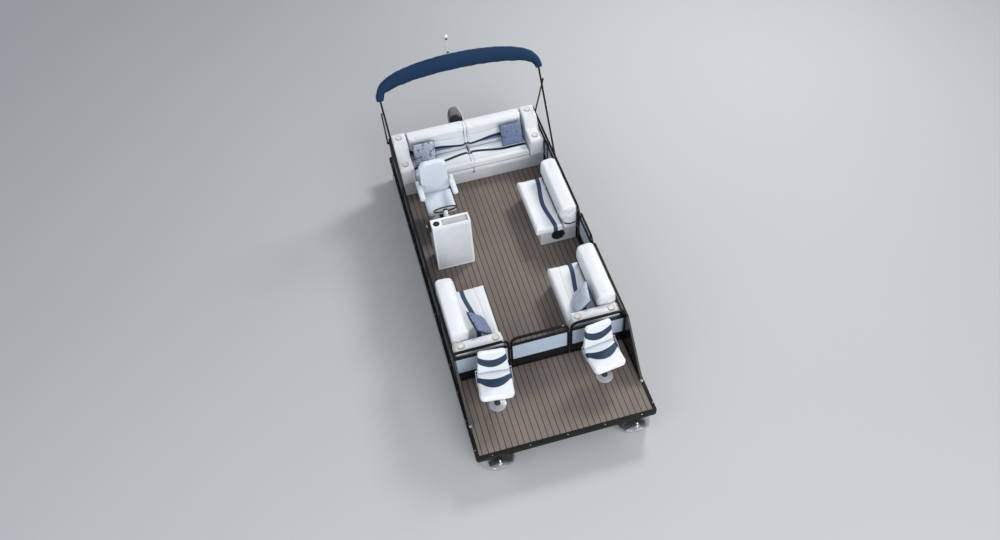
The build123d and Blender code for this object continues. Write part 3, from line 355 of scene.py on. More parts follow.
def bench_back_pattern(net):
    z, y = net.axis("Z"), abs(net.axis("Y"))
    base = net.step(y, 0.03, 0.55) * 0.062 + 0.955
    gap = z - (base + net.step(y, 0.055, 0.0) * 0.014)
    half = y * 0.02 + 0.017
    fore = net.step(net.axis("X"), -2.66, -2.64)
    navy = net.step(abs(gap) - half, 0.0015, -0.0015) * fore
    fill = net.step(z, 0.947, 0.950) * net.step(gap, 0.0, -0.002) * net.step(y, 0.18, 0.30) * fore
    # painted shade: the pale band at the foot of the back tinted grey-blue
    pale = net.step(z, 0.905, 0.910) * net.step(z, 0.950, 0.947) * fore * 0.35
    crease = net.step(y, 0.2, 1.05) * 0.075 + 1.121
    seams = beside(z - base, half, y) + [(z - crease, y)]
    return [(pale, PAINTED_SHADE_BLUE), (fill, STEEL_BLUE), (navy, NAVY)], seams


def chair_own(x, y):
    """Places along and across the port bow chair, square to its own turn."""
    dx, dy = x - CHAIR_X, y - CHAIR_Y
    return (dx * math.cos(CHAIR_TURN) + dy * math.sin(CHAIR_TURN),
            dy * math.cos(CHAIR_TURN) - dx * math.sin(CHAIR_TURN))


def past_arc(place, across, arc):
    return place - (across ** 2 * arc[1] + arc[0])


def chair_pattern(net, height, arcs):
    """A slate band with navy edges between two arcs; the starboard chair mirrors the port one."""
    x, y = chair_own(net.axis("X"), abs(net.axis("Y")))
    low, high = (past_arc(net.axis("Z") if height else x, y, arc) for arc in arcs)
    band = net.step(low, -0.002, 0.002) * net.step(high, 0.002, -0.002)
    inner = net.step(low, 0.010, 0.013) * net.step(high, -0.010, -0.013)
    return [(band, NAVY), (inner, DEEP_SLATE)], [(low, y), (high, y)]


def deck_material():
    """Planks along X with dark grooves, streaky grain and one tone a plank."""
    net = Net("deck", (0.30, 0.215, 0.165), 0.62)
    pitch = 0.0845
    plank = (net.axis("Y") + 0.012) * (1 / pitch)
    share = net.math("FRACT", plank)
    off = net.math("MINIMUM", share, 1.0 - share) * pitch
    seam = net.step(off, 0.0062, 0.0040)
    number = net.math("FLOOR", plank)
    tone = Signal(net, net.add("TexWhiteNoise", {"W": number}, noise_dimensions="1D").outputs["Value"])
    streak = net.noise(3.0, 5.0, 0.7, stretch=(1.2, 60.0, 1.0))
    fibre = net.noise(9.0, 3.0, 0.7, stretch=(2.0, 160.0, 1.0))
    cloud = net.noise(1.1, 4.0)
    shade = net.mix(streak, (0.128, 0.103, 0.088), (0.245, 0.198, 0.168))
    shade = net.mix(net.step(fibre, 0.35, 0.7) * 0.45, shade, (0.088, 0.072, 0.062))
    shade = net.mix(tone * 0.40, shade, (0.215, 0.172, 0.146))
    shade = net.mix(net.step(cloud, 0.45, 0.75) * 0.25, shade, (0.245, 0.208, 0.184))
    shade = net.mix(seam, shade, (0.012, 0.010, 0.009))
    # painted shade: darker by the bases and in the corners, from ambient occlusion
    net.set(Base_Color=net.painted_corner_shade(shade, 0.10, 0.2, 0.9, 0.40, (0.07, 0.055, 0.045)),
            Roughness=net.math("ADD", 0.50, streak * 0.18 + tone * 0.06, clamp=True),
            Normal=net.bump(streak * 0.25 + fibre * 0.35 - seam * 3.0, 0.0007))


def panel_material(name, colour, dark_outside=False):
    """Painted sheet with faint oil-canning; the side fences are dark on the outside."""
    net = coated(name, colour, 0.32, None, 0.001, (500.0, 0.00005), 0.03, 0.1, Specular_IOR_Level=0.35)
    if dark_outside:
        side = net.step(abs(net.axis("Y")), 1.2495, 1.2505)
        net.set(Base_Color=net.mix(side, net.wired("Base Color"), (0.016, 0.018, 0.022)))
    net.set(Normal=net.bump(net.noise(2.6, 2.0), 0.004, 0.5, net.wired("Normal")))
    return net


def gate_material(name, dark_outside):
    """A gate's sheet: pale above the kick height, dark below."""
    net = panel_material(name, PANEL_BLUE, dark_outside)
    low = net.step(net.axis("Z"), KICK_Z + 0.0005, KICK_Z - 0.0005)
    net.set(Base_Color=net.mix(low, net.wired("Base Color"), KICK_BLACK))


def hull_material():
    """Brushed aluminium tubes with swirl marks and a scum line at the water."""
    net = metal("hull", (0.66, 0.67, 0.69), 0.26, (60.0, 1.0, 3.0), (0.40, 0.40, 0.39), 0.004)
    drip = net.noise(5.0, stretch=(6.0, 6.0, 0.4))
    line = net.step(net.axis("Z") - drip * 0.10, 0.03, -0.03)
    net.set(Base_Color=net.mix(line * 0.55, net.wired("Base Color"), (0.16, 0.15, 0.11)))


def cowl_material():
    """Grey-brown cap with painted highlight on its port rim and aft end, a white port side (flash and painted
    highlight), black starboard side and vented black front.
    """
    net = coated("cowl", (0.190, 0.172, 0.168), 0.42, (0.30, 0.28, 0.27), 0.003, (120.0, 0.00015), 0.10, 0.2,
                 Coat_Weight=0.2, Coat_Roughness=0.25)
    x, y, z = (net.axis(name) for name in "XYZ")
    black, white = (0.008, 0.008, 0.009), (0.74, 0.75, 0.76)
    over = abs(y) - (net.step(x, -3.62, -3.36) * 0.042 + 0.058)
    side = net.step(over, -0.001, 0.002)
    # painted highlight: a pale rim along the port half of the cap
    rim = net.near(over, 0.004, 0.001) * net.step(y, -0.02, 0.03)
    # painted highlight: the cap's aft end pale
    aft_highlight = net.step(x, -3.592, -3.598)
    front = net.step(x + z * 0.3, -3.076, -3.070)
    # the port side white: partly the white flash, partly a painted highlight on the side toward the key
    port = side * net.step(y, -0.001, 0.001) * net.step(z + x * 0.3, -0.270, -0.264)
    starboard = side * net.step(y, 0.001, -0.001)
    flash = starboard * net.near(z + (x + 3.43) * 0.55 - 0.700, 0.030, 0.002)
    # painted highlight: the pale port rim and aft end
    shade = net.mix(net.math("MAXIMUM", rim, aft_highlight) * 0.8, net.wired("Base Color"), (0.62, 0.60, 0.60))
    shade = net.mix(net.math("MAXIMUM", front, starboard), shade, black)
    # the white port side, partly painted highlight, and the starboard flash
    shade = net.mix(flash, net.mix(port, shade, white), white)
    net.set(Base_Color=net.mix(net.step(z, 0.640, 0.636), shade, black))


hull_material()
deck_material()
cowl_material()
panel_material("panel", PANEL_BLUE, True)
panel_material("kick", KICK_BLACK)
gate_material("bow_gate_panels", False)
gate_material("side_gate_panels", True)
metal("beam", (0.48, 0.49, 0.50), 0.42, (1.0, 40.0, 40.0), (0.28, 0.27, 0.25))
metal("bolt", (0.80, 0.80, 0.80), 0.16, (30.0, 30.0, 30.0), (0.5, 0.5, 0.5))
metal("satin", (0.72, 0.73, 0.74), 0.24, (3.0, 3.0, 50.0), (0.5, 0.5, 0.5), 0.003)
metal("prop", (0.30, 0.30, 0.31), 0.36, (20.0, 20.0, 20.0), (0.16, 0.16, 0.16), 0.003)

# columns: colour, roughness, worn edges, radius, grain, speckle, painted corner shade
# painted shade: the fishing chairs' hinges grey-blue, like the shaded fold they sit in
coated("hinge", (0.42, 0.46, 0.52), 0.40, (0.55, 0.58, 0.62), 0.001, (700.0, 0.00008), 0.06, 0.1)
coated("trim", (0.008, 0.0085, 0.009), 0.50, (0.03, 0.03, 0.03), 0.0015, (700.0, 0.00008), 0.10, 0.0,
       Specular_IOR_Level=0.15)
coated("rail", (0.004, 0.004, 0.005), 0.28, (0.012, 0.012, 0.014), 0.006, (300.0, 0.00010), 0.10, 0.0,
       Specular_IOR_Level=0.22)
coated("base", (0.60, 0.62, 0.64), 0.5, (0.80, 0.81, 0.82), 0.004, (420.0, 0.0004), 0.05, 0.35)
coated("speaker", (0.012, 0.012, 0.013), 0.55, (0.05, 0.05, 0.05), 0.001, (900.0, 0.0003))
coated("console", (0.90, 0.92, 0.94), 0.24, (0.86, 0.87, 0.88), 0.006, (60.0, 0.00025), 0.03, 0.25,
       Coat_Weight=0.5, Coat_Roughness=0.06)
coated("panel_grey", (0.74, 0.77, 0.80), 0.30, (0.80, 0.82, 0.84), 0.003, (80.0, 0.0002), 0.03, 0.2,
       Coat_Weight=0.3, Coat_Roughness=0.15)
coated("tray", (0.50, 0.52, 0.53), 0.6, None, 0.001, (800.0, 0.0004), 0.08, 0.4)
coated("wheel", (0.014, 0.014, 0.015), 0.48, (0.05, 0.05, 0.05), 0.002, (800.0, 0.0005), 0.1, 0.1)
coated("black", (0.014, 0.014, 0.015), 0.42, (0.06, 0.06, 0.065), 0.0015, (900.0, 0.0002), 0.1, 0.1)
coated("motor", (0.013, 0.013, 0.015), 0.26, (0.09, 0.09, 0.095), 0.004, (90.0, 0.0002), 0.1, 0.1,
       Coat_Weight=0.5, Coat_Roughness=0.1)
coated("globe", (0.86, 0.86, 0.84), 0.18, None, 0.001, (200.0, 0.00005), 0.02, 0.1,
       Coat_Weight=0.4, Subsurface_Weight=0.2)
coated("cream", (0.72, 0.69, 0.60), 0.50, (0.80, 0.79, 0.74), 0.002, (700.0, 0.0002), 0.06, 0.45)
coated("glass", (0.02, 0.022, 0.026), 0.08, None, 0.001, (30.0, 0.00002), 0.05, 0.0,
       Coat_Weight=1.0, Coat_Roughness=0.03)
coated("needle", (0.60, 0.06, 0.03), 0.4, None, 0.0005, (500.0, 0.00005))
coated("tick", (0.75, 0.76, 0.76), 0.5, None, 0.0005, (500.0, 0.00005))
coated("spun", (0.50, 0.52, 0.56), 0.34, (0.66, 0.68, 0.70), 0.003, (260.0, 0.00015), 0.06, 0.3, 0.35)

vinyl("vinyl")
vinyl("couch_seat", couch_pattern)
vinyl("lounge_seat", lounge_pattern)
vinyl("side_back", side_back_pattern)
vinyl("bench_seat", bench_seat_pattern)
vinyl("bench_back", bench_back_pattern)
vinyl("chair_seat", lambda net: chair_pattern(net, False, SEAT_ARCS))
vinyl("chair_back", lambda net: chair_pattern(net, True, BACK_ARCS))
# painted shade: the helm chair's white vinyl given a blue-grey colour
vinyl("helm_vinyl_painted_shade", colour=(0.70, 0.76, 0.84))
vinyl("helm_piping", colour=(0.84, 0.85, 0.86))
# painted shade: grey-blue vinyl for the roll in the chairs' fold
vinyl("crease_shade_vinyl", colour=(0.42, 0.48, 0.58))

woven("canvas", ((0.007, 0.026, 0.066), (0.010, 0.035, 0.086), (0.015, 0.047, 0.108)),
      pitch=0.0016, space="UV", roughness=0.8, fuzz=0.0, speck=0.3)
# painted highlight: a paler copy of the canvas, for the welt along the boot's top edge
woven("canvas_painted_highlight", ((0.08, 0.14, 0.30), (0.10, 0.17, 0.36), (0.14, 0.21, 0.40)),
      pitch=0.0016, roughness=0.7, fuzz=0.0, speck=0.3)
woven("pillow_pale", ((0.40, 0.46, 0.58), (0.52, 0.57, 0.67), (0.78, 0.78, 0.80)), speck=0.6,
      blooms=((17.0, 0.55, (0.20, 0.27, 0.43)), (26.0, 0.62, (0.76, 0.77, 0.80))))
woven("pillow_blue", ((0.13, 0.18, 0.31), (0.19, 0.24, 0.38), (0.40, 0.43, 0.50)),
      blooms=((42.0, 0.62, (0.42, 0.46, 0.56)), (24.0, 0.62, (0.06, 0.09, 0.19))))
woven("pillow_lilac", ((0.48, 0.54, 0.66), (0.56, 0.62, 0.73), (0.72, 0.75, 0.80)),
      blooms=((26.0, 0.63, (0.30, 0.34, 0.50)),))
woven("pillow_dark", ((0.10, 0.16, 0.31), (0.15, 0.21, 0.38), (0.36, 0.38, 0.44)), speck=0.6,
      blooms=((52.0, 0.62, (0.42, 0.36, 0.34)), (20.0, 0.62, (0.07, 0.11, 0.24))))
woven("pillow_back", ((0.022, 0.036, 0.085), (0.034, 0.052, 0.115), (0.08, 0.10, 0.17)), fuzz=0.0, speck=0.4)

# The CAD nodes that keep their shape, under the name of their material
CARRIED = {
    "hull": ("pontoon_port", "pontoon_starboard"),
    "beam": ("crossmembers", "motor_pod"),
    "deck": ("deck",),
    "trim": ("deck_trim",),
    "bolt": ("trim_bolts", "rail_feet"),
    "rail": ("rail_starboard", "rail_port", "rail_bow", "rail_stern", "bow_gate_frame", "side_gate_frame",
             "bow_side_rails", "bimini_bow", "bimini_mounts", "bimini_braces"),
    "panel": ("panels_upper",),
    "kick": ("panels_lower",),
    "bow_gate_panels": ("bow_gate_panels",),
    "side_gate_panels": ("side_gate_panels",),
    "base": ("couch_bases", "lounge_base", "bench_base"),
    "console": ("console",),
    "hinge": ("fishing_hinges_port", "fishing_hinges_starboard"),
    "satin": ("lounge_hinges",),
    "motor": ("outboard_clamp", "outboard_swivel"),
}
for key, names in CARRIED.items():
    for name in names:
        mesh = NODES[name].data
        mesh.materials.clear()
        mesh.materials.append(MATERIALS[key])


# Shapes built in mesh code

def turns(count, first=0.0):
    """Evenly spread angles round a circle."""
    return [2 * math.pi * (k + first) / count for k in range(count)]


def circle(radius, count, height=0.0):
    return [(radius * math.cos(a), radius * math.sin(a), height) for a in turns(count)]


def bulged(value, power):
    """A sine or cosine raised to a power, with its sign kept; under 1 it squares a round outline."""
    return abs(value) ** power * math.copysign(1, value)


def smooth01(t):
    """0 to 1 with soft ends."""
    t = np.clip(t, 0, 1)
    return t * t * (3 - 2 * t)


def at(x, y, z):
    return Matrix.Translation((x, y, z))


def spin(degrees, axis="Z"):
    return Matrix.Rotation(math.radians(degrees), 4, axis)


def framed(right, up, out, place):
    """The place of a part from its three axes and its origin."""
    return at(*place) @ Matrix((right, up, out)).transposed().to_4x4()


class Shape:
    """Vertices and faces gathered from several parts, each with its own material."""

    def __init__(self):
        self.verts = []
        self.faces = []
        self.kinds = []
        self.keys = []

    def add(self, verts, faces, key, place=None):
        if key not in self.keys:
            self.keys.append(key)
        start = len(self.verts)
        self.verts += [tuple(place @ Vector(v)) if place is not None else tuple(v) for v in verts]
        self.faces += [tuple(start + i for i in f) for f in faces]
        self.kinds += [self.keys.index(key)] * len(faces)

    def rings(self, rings, key, place=None, closed=False, caps=True):
        """A skin over rings that have the same number of points."""
        count = len(rings[0])
        total = len(rings)
        faces = []
        for r in range(total if closed else total - 1):
            a, b = r * count, ((r + 1) % total) * count
            for i in range(count):
                j = (i + 1) % count
                faces.append((a + i, a + j, b + j, b + i))
        if caps and not closed:
            faces.append(tuple(range(count))[::-1])
            faces.append(tuple((total - 1) * count + i for i in range(count)))
        self.add([p for ring in rings for p in ring], faces, key, place)

    def lathe(self, profile, key, place=None, segments=48):
        """A turned form from pairs of radius and height, open at both ends unless one reaches the axis."""
        rings = [circle(max(r, 1e-5), segments, z) for r, z in profile]
        self.rings(rings, key, place, caps=profile[0][0] < 1e-4 or profile[-1][0] < 1e-4)

    def tube(self, points, radius, key, place=None, segments=10, closed=False):
        """A round tube along points; radius may be one number or one for each point."""
        points = [Vector(p) for p in points]
        total = len(points)
        radii = radius if isinstance(radius, list) else [radius] * total
        rings = []
        side = None
        for i, p in enumerate(points):
            ahead = points[(i + 1) % total] if closed or i + 1 < total else p
            behind = points[i - 1] if closed or i else p
            way = (ahead - behind).normalized()
            if side is None:
                side = way.orthogonal().normalized()
            side = (side - way * side.dot(way)).normalized()
            other = way.cross(side)
            rings.append([p + radii[i] * (side * math.cos(a) + other * math.sin(a)) for a in turns(segments)])
        self.rings(rings, key, place, closed=closed)

    def slab(self, low, high, radius, key, place=None, segments=3):
        """A box with rounded edges from its lowest and highest corners."""
        made = bmesh.new()
        bmesh.ops.create_cube(made, size=1.0)
        for v in made.verts:
            v.co = Vector([l + (h - l) * (c + 0.5) for l, h, c in zip(low, high, v.co)])
        bmesh.ops.bevel(made, geom=made.edges[:], offset=radius, segments=segments, profile=0.5,
                        affect="EDGES")
        made.verts.index_update()
        self.add([v.co for v in made.verts], [[v.index for v in f.verts] for f in made.faces], key, place)
        made.free()

    def knob(self, start, end, radius, segments=20):
        self.tube([start, end], radius, "black", segments=segments)

    def piece(self, name, body, slot, nodes=(), sharp=35.0, place=None):
        """Turn the gathered parts into one object on a body; a piece with a place is welded too."""
        mesh = bpy.data.meshes.new(name)
        mesh.from_pydata(self.verts, [], self.faces)
        for key in self.keys:
            mesh.materials.append(MATERIALS[key])
        mesh.polygons.foreach_set("material_index", self.kinds)
        mesh.validate()
        mesh.update()
        obj = bpy.data.objects.new(name, mesh)
        if place is not None:
            made = welded(mesh, 1e-5)
            made.to_mesh(mesh)
            made.free()
            obj.matrix_world = place
        return settle(obj, body, nodes, sharp)


def welded(mesh, reach):
    """A mesh as editable points and faces, joined where it was only touching."""
    made = bmesh.new()
    made.from_mesh(mesh)
    bmesh.ops.remove_doubles(made, verts=made.verts[:], dist=reach)
    return made


def settle(piece, body, nodes=(), sharp=None):
    """Link a piece, shade it smooth, hang it on its body's empty and hide the CAD nodes it stands for."""
    if piece.name not in bpy.context.scene.collection.objects:
        bpy.context.scene.collection.objects.link(piece)
    piece.data.polygons.foreach_set("use_smooth", [True] * len(piece.data.polygons))
    if sharp:
        piece.data.set_sharp_from_angle(angle=math.radians(sharp))
    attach(piece, body)
    if nodes:
        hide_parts(*nodes)
    return piece


def run_lengths(points):
    """How far along a line each of its points lies."""
    lengths = [0.0]
    for p, q in zip(points, points[1:]):
        lengths.append(lengths[-1] + (q - p).length)
    return lengths


def spline(points, count):
    """Points evenly spread on a smooth curve through the given ones."""
    points = [Vector(p) for p in points]
    pieces = 24
    dense = []
    for i in range(len(points) - 1):
        a, b, c = points[max(i - 1, 0)], points[i], points[i + 1]
        d = points[min(i + 2, len(points) - 1)]
        for t in [k / pieces for k in range(pieces)]:
            dense.append(0.5 * ((2 * b) + (c - a) * t + (2 * a - 5 * b + 4 * c - d) * t * t
                                + (3 * b - a - 3 * c + d) * t ** 3))
    dense.append(points[-1])
    lengths = run_lengths(dense)
    made = []
    spot = 0
    for k in range(count):
        goal = lengths[-1] * k / (count - 1)
        while spot < len(lengths) - 2 and lengths[spot + 1] < goal:
            spot += 1
        span = max(lengths[spot + 1] - lengths[spot], 1e-9)
        made.append(dense[spot].lerp(dense[spot + 1], min(1.0, (goal - lengths[spot]) / span)))
    return made


# Padded pieces

def solids_of(node):
    """Each closed solid of a CAD node as points and faces, from starboard to port."""
    made = welded(NODES[node].data, 2e-5)
    made.verts.ensure_lookup_table()
    left = set(made.verts)
    found = []
    while left:
        group = [left.pop()]
        queue = group[:]
        while queue:
            for v in [v for e in queue.pop().link_edges for v in e.verts]:
                if v in left:
                    left.discard(v)
                    group.append(v)
                    queue.append(v)
        index = {v: i for i, v in enumerate(group)}
        faces = [[index[v] for v in f.verts] for f in made.faces if f.verts[0] in index]
        found.append(([v.co.copy() for v in group], faces))
    made.free()
    found.sort(key=lambda s: sum(p.y for p in s[0]) / len(s[0]))
    return found


def corners_of(points):
    """The lowest and the highest corner of a set of points."""
    return (np.array([side(p[i] for p in points) for i in range(3)]) for side in (min, max))


def coordinates(mesh):
    co = np.empty(len(mesh.vertices) * 3, np.float32)
    mesh.vertices.foreach_get("co", co)
    return co.reshape(-1, 3).astype(float)


def normals(mesh):
    no = np.empty(len(mesh.vertices) * 3, np.float32)
    mesh.vertex_normals.foreach_get("vector", no)
    return no.reshape(-1, 3).astype(float)


def put(mesh, co):
    mesh.vertices.foreach_set("co", co.astype(np.float32).ravel())
    mesh.update()


def bake(obj):
    """Apply all of an object's modifiers to its mesh."""
    mesh = bpy.data.meshes.new_from_object(obj.evaluated_get(bpy.context.evaluated_depsgraph_get()))
    obj.modifiers.clear()
    obj.data = mesh


PADS = {}
FRAMES = 20
CLOTH = {"quality": 4, "mass": 0.35, "tension_stiffness": 18.0, "compression_stiffness": 18.0,
         "shear_stiffness": 8.0, "bending_stiffness": 1.2, "use_pressure": True,
         "uniform_pressure_force": 4.0}


def under(co, low):
    """The underside, which rests on its base."""
    return co[:, 2] < low[2] + 0.030


def under_and_outboard(co, low):
    return under(co, low) | (np.abs(co[:, 1]) > 1.195)


def under_and_stern(co, low):
    return under(co, low) | (co[:, 0] < low[0] + 0.020)


def helm_shell(co, low):
    """The aft face of the helm chair's back, a firm moulded shell."""
    return co[:, 0] < low[0] + 0.012


def cupped(cups):
    """The underside of an arm and the rims of its cup bores."""
    def held(co, low):
        rims = [np.hypot(co[:, 0] - x, co[:, 1] - y) < CUP_R + 0.022 for x, y, _ in cups]
        return under(co, low) | rims[0] | rims[1]
    return held


def nothing(co, low):
    return np.zeros(len(co), bool)


def pad(name, node, index, inset, cap, voxel, held, soften=8):
    """Ready one solid of a soft CAD node to swell: remeshed, eased at its edges and a little smaller."""
    points, faces = solids_of(node)[index]
    mesh = bpy.data.meshes.new(name)
    mesh.from_pydata(points, [], faces)
    mesh.update()
    obj = bpy.data.objects.new(name, mesh)
    bpy.context.scene.collection.objects.link(obj)
    remesh = obj.modifiers.new("remesh", "REMESH")
    remesh.mode = "VOXEL"
    remesh.voxel_size = voxel
    smooth = obj.modifiers.new("smooth", "SMOOTH")
    smooth.factor = 0.5
    smooth.iterations = soften
    bake(obj)
    co = coordinates(obj.data)
    co -= normals(obj.data) * inset
    put(obj.data, co)
    low, high = corners_of(points)
    shell = BVHTree.FromPolygons(points, faces)
    PADS[name] = {"obj": obj, "rest": co, "shell": shell, "cap": cap, "low": low, "high": high}
    group = obj.vertex_groups.new(name="held")
    group.add([int(i) for i in np.nonzero(held(co, low))[0]], 1.0, "REPLACE")
    cloth = obj.modifiers.new("cloth", "CLOTH")
    for key, value in CLOTH.items():
        setattr(cloth.settings, key, value)
    cloth.settings.effector_weights.gravity = 0.0
    cloth.settings.vertex_group_mass = "held"
    cloth.collision_settings.use_collision = False
    cloth.point_cache.frame_start = 1
    cloth.point_cache.frame_end = FRAMES


def swell():
    """Run the cloth for all the pads at once, cap how far points move, and keep them in their CAD solid."""
    scene = bpy.context.scene
    scene.frame_start = 1
    scene.frame_end = FRAMES
    for step in range(1, FRAMES + 1):
        scene.frame_set(step)
    for entry in PADS.values():
        obj, rest, cap = entry["obj"], entry["rest"], entry["cap"]
        bake(obj)
        move = coordinates(obj.data) - rest
        far = np.linalg.norm(move, axis=1)
        share = np.where(far > 1e-9, cap * np.tanh(far / cap) / np.maximum(far, 1e-9), 1.0)
        put(obj.data, rest + move * share[:, None])
        fine = obj.modifiers.new("fine", "SUBSURF")
        fine.levels = 1
        fine.render_levels = 1
        bake(obj)
        contain(obj.data, entry["shell"])
    scene.frame_set(1)


def contain(mesh, shell, inside=0.0006):
    """Bring each point that lies outside the CAD solid back just inside it."""
    co = coordinates(mesh)
    for i, p in enumerate(co):
        spot, normal, _, _ = shell.find_nearest(Vector(p))
        if (Vector(p) - spot).dot(normal) > -inside:
            co[i] = spot - normal * inside
    put(mesh, co)


def close_up(name, sides):
    """Bring a pad's flat sides out to its neighbours, which it touches on the real boat."""
    gap, reach = 0.0008, 0.09
    entry = PADS[name]
    mesh = entry["obj"].data
    co = coordinates(mesh)
    for side in sides.split():
        k = "xyz".index(side[1])
        if side[0] == "+":
            goal = entry["high"][k] - gap
            shift = goal - co[:, k].max()
            past = co[:, k] - goal + reach
        else:
            goal = entry["low"][k] + gap
            shift = goal - co[:, k].min()
            past = goal + reach - co[:, k]
        co[:, k] += shift * smooth01(past / reach)
    put(mesh, co)
    contain(mesh, entry["shell"])


def round_corners(name, axes, corners, radius):
    """Round some corners of a pad in the plane of two axes."""
    entry = PADS[name]
    mesh = entry["obj"].data
    co = coordinates(mesh)
    for signs in corners:
        u, v = ((co[:, k] - (entry["high"][k] - radius if s > 0 else entry["low"][k] + radius)) * s
                for k, s in zip(axes, signs))
        hit = (u > 0) & (v > 0)
        far = np.hypot(u[hit], v[hit])
        turn = np.arctan2(v[hit], u[hit])
        steps = np.linspace(0, math.pi / 2, 19)
        reach = [max(far[np.abs(turn - s) < 0.06].max(initial=0.0), radius) for s in steps]
        share = radius / np.interp(turn, steps, reach) - 1
        for k, s, past in zip(axes, signs, (u, v)):
            co[hit, k] += s * past[hit] * share
    put(mesh, co)


def crease(name, gap, way, depth, width, least=0.4):
    """Press a soft groove in where gap(x, y, z) is zero, on the faces that look the way."""
    mesh = PADS[name]["obj"].data
    co = coordinates(mesh)
    no = normals(mesh)
    away = np.abs(gap(*co.T)) + np.where(no @ np.array(way, float) > least, 0.0, 1.0)
    co -= no * (depth * np.exp(-(away / width) ** 2))[:, None]
    put(mesh, co)


def round_frame(a, b, half_a, half_b, corner):
    """How far points are from the outline of a rounded rectangle."""
    qa = np.abs(a) - half_a + corner
    qb = np.abs(b) - half_b + corner
    outside = np.hypot(np.maximum(qa, 0), np.maximum(qb, 0))
    return outside + np.minimum(np.maximum(qa, qb), 0) - corner


def cut_cups(name, cups):
    """True up the cup bores, which the remesh leaves rough."""
    mesh = PADS[name]["obj"].data
    co = coordinates(mesh)
    wide = CUP_R + 0.0012
    for x, y, top in cups:
        floor = top - CUP_DEPTH
        off = co[:, :2] - np.array([x, y])
        r = np.linalg.norm(off, axis=1)
        inside = (r < wide) & (co[:, 2] > floor - 0.012)
        middle = inside & ((r < CUP_R * 0.72) | (co[:, 2] < floor + 0.010))
        wall = inside & ~middle
        co[middle, 2] = np.minimum(co[middle, 2], floor - 0.0015)
        co[wall, :2] = np.array([x, y]) + off[wall] * (wide / np.maximum(r[wall], 1e-6))[:, None]
    put(mesh, co)


def mirrored(obj, name):
    """The starboard twin of a port piece."""
    mesh = obj.data.copy()
    mesh.transform(Matrix.Scale(-1, 4, (0, 1, 0)))
    mesh.flip_normals()
    return bpy.data.objects.new(name, mesh)


def upholster(obj, key, body, node):
    obj.data.materials.clear()
    obj.data.materials.append(MATERIALS[key])
    settle(obj, body, (node,))


# columns: pad, CAD node, which of its solids, inset, most swelling, voxel, held points, rounds of smoothing
pad("couch_seat_port", "couch_seats", 1, 0.008, 0.014, 0.017, under)
pad("couch_back_port", "couch_backs", 1, 0.008, 0.018, 0.019, under_and_outboard, 24)
pad("couch_arm_port", "couch_arms", 1, 0.006, 0.010, 0.014, cupped(COUCH_CUPS))
pad("lounge_seat_pad", "lounge_seat", 0, 0.008, 0.014, 0.017, under)
pad("lounge_back_pad", "lounge_back", 0, 0.008, 0.018, 0.019, under_and_outboard, 24)
pad("bench_seat_port", "bench_seats", 1, 0.007, 0.013, 0.016, under)
pad("bench_back_port", "bench_backs", 1, 0.009, 0.020, 0.018, under_and_stern, 10)
pad("bench_arm_port", "bench_arms", 1, 0.006, 0.010, 0.0145, cupped(BENCH_CUPS))
pad("helm_seat_pad", "helm_seat", 0, 0.010, 0.018, 0.013, under)
pad("helm_back_pad", "helm_back", 0, 0.008, 0.016, 0.0135, helm_shell)
pad("fishing_seat_pad_port", "fishing_seat_port", 0, 0.004, 0.010, 0.0125, under, 5)
pad("fishing_back_pad_port", "fishing_back_port", 0, 0.004, 0.010, 0.012, nothing, 5)
swell()

# The sides that touch a neighbour
close_up("couch_seat_port", "+x +y")
close_up("couch_back_port", "+x")
close_up("couch_arm_port", "-x")
close_up("lounge_seat_pad", "+y")
close_up("bench_seat_port", "-y +y -x")
close_up("bench_back_port", "-y +y")
close_up("bench_arm_port", "-y")
close_up("helm_seat_pad", "-x")
close_up("fishing_seat_pad_port", "+z")
close_up("fishing_back_pad_port", "-z")

AFT = ((-1, -1), (-1, 1))
FORE = ((1, -1), (1, 1))
INBOARD = ((-1, -1), (1, -1))

# columns: pad, plane, corners that are rounded, radius
round_corners("couch_seat_port", (0, 1), AFT[:1], 0.070)
round_corners("lounge_seat_pad", (0, 1), INBOARD, 0.055)
round_corners("couch_back_port", (0, 1), AFT, 0.080)
round_corners("lounge_back_pad", (0, 1), AFT, 0.085)
round_corners("lounge_back_pad", (0, 1), FORE, 0.050)
round_corners("helm_seat_pad", (0, 1), FORE, 0.100)
round_corners("helm_seat_pad", (0, 1), AFT, 0.050)
round_corners("helm_back_pad", (1, 2), ((-1, 1), (1, 1)), 0.120)


# Seams pressed into the padded pieces

def bench_back_line(y):
    return 0.075 * smooth01((np.abs(y) - 0.2) / 0.85) + 1.121


def past_seat_arc(number):
    return lambda x, y, z: past_arc(*chair_own(x, y), SEAT_ARCS[number])


def past_back_arc(number):
    return lambda x, y, z: past_arc(z, chair_own(x, y)[1], BACK_ARCS[number])


UP = (0, 0, 1)
AHEAD = (1, 0, 0)
INWARD = (0, -1, 0.3)

# columns: pad, distance from the seam, which faces, depth, width
crease("couch_seat_port", lambda x, y, z: abs(y) - couch_bend(x), UP, 0.006, 0.014)
crease("couch_seat_port", lambda x, y, z: y - 0.810, UP, 0.012, 0.110)
crease("lounge_seat_pad", lambda x, y, z: abs(y) - 0.700, UP, 0.003, 0.016)
crease("lounge_seat_pad", lambda x, y, z: y - 0.810, UP, 0.008, 0.110)
crease("couch_back_port", lambda x, y, z: z - 1.205, INWARD, 0.004, 0.012, 0.2)
crease("lounge_back_pad", lambda x, y, z: z - 1.205, INWARD, 0.004, 0.012, 0.2)
crease("bench_back_port", lambda x, y, z: z - bench_back_line(y), (1, 0, 0.2), 0.009, 0.016)
crease("bench_seat_port", lambda x, y, z: x - BENCH_SEAM_X, UP, 0.005, 0.011)
crease("fishing_seat_pad_port", past_seat_arc(1), UP, 0.005, 0.009)
crease("fishing_seat_pad_port", past_seat_arc(0), UP, 0.003, 0.008)
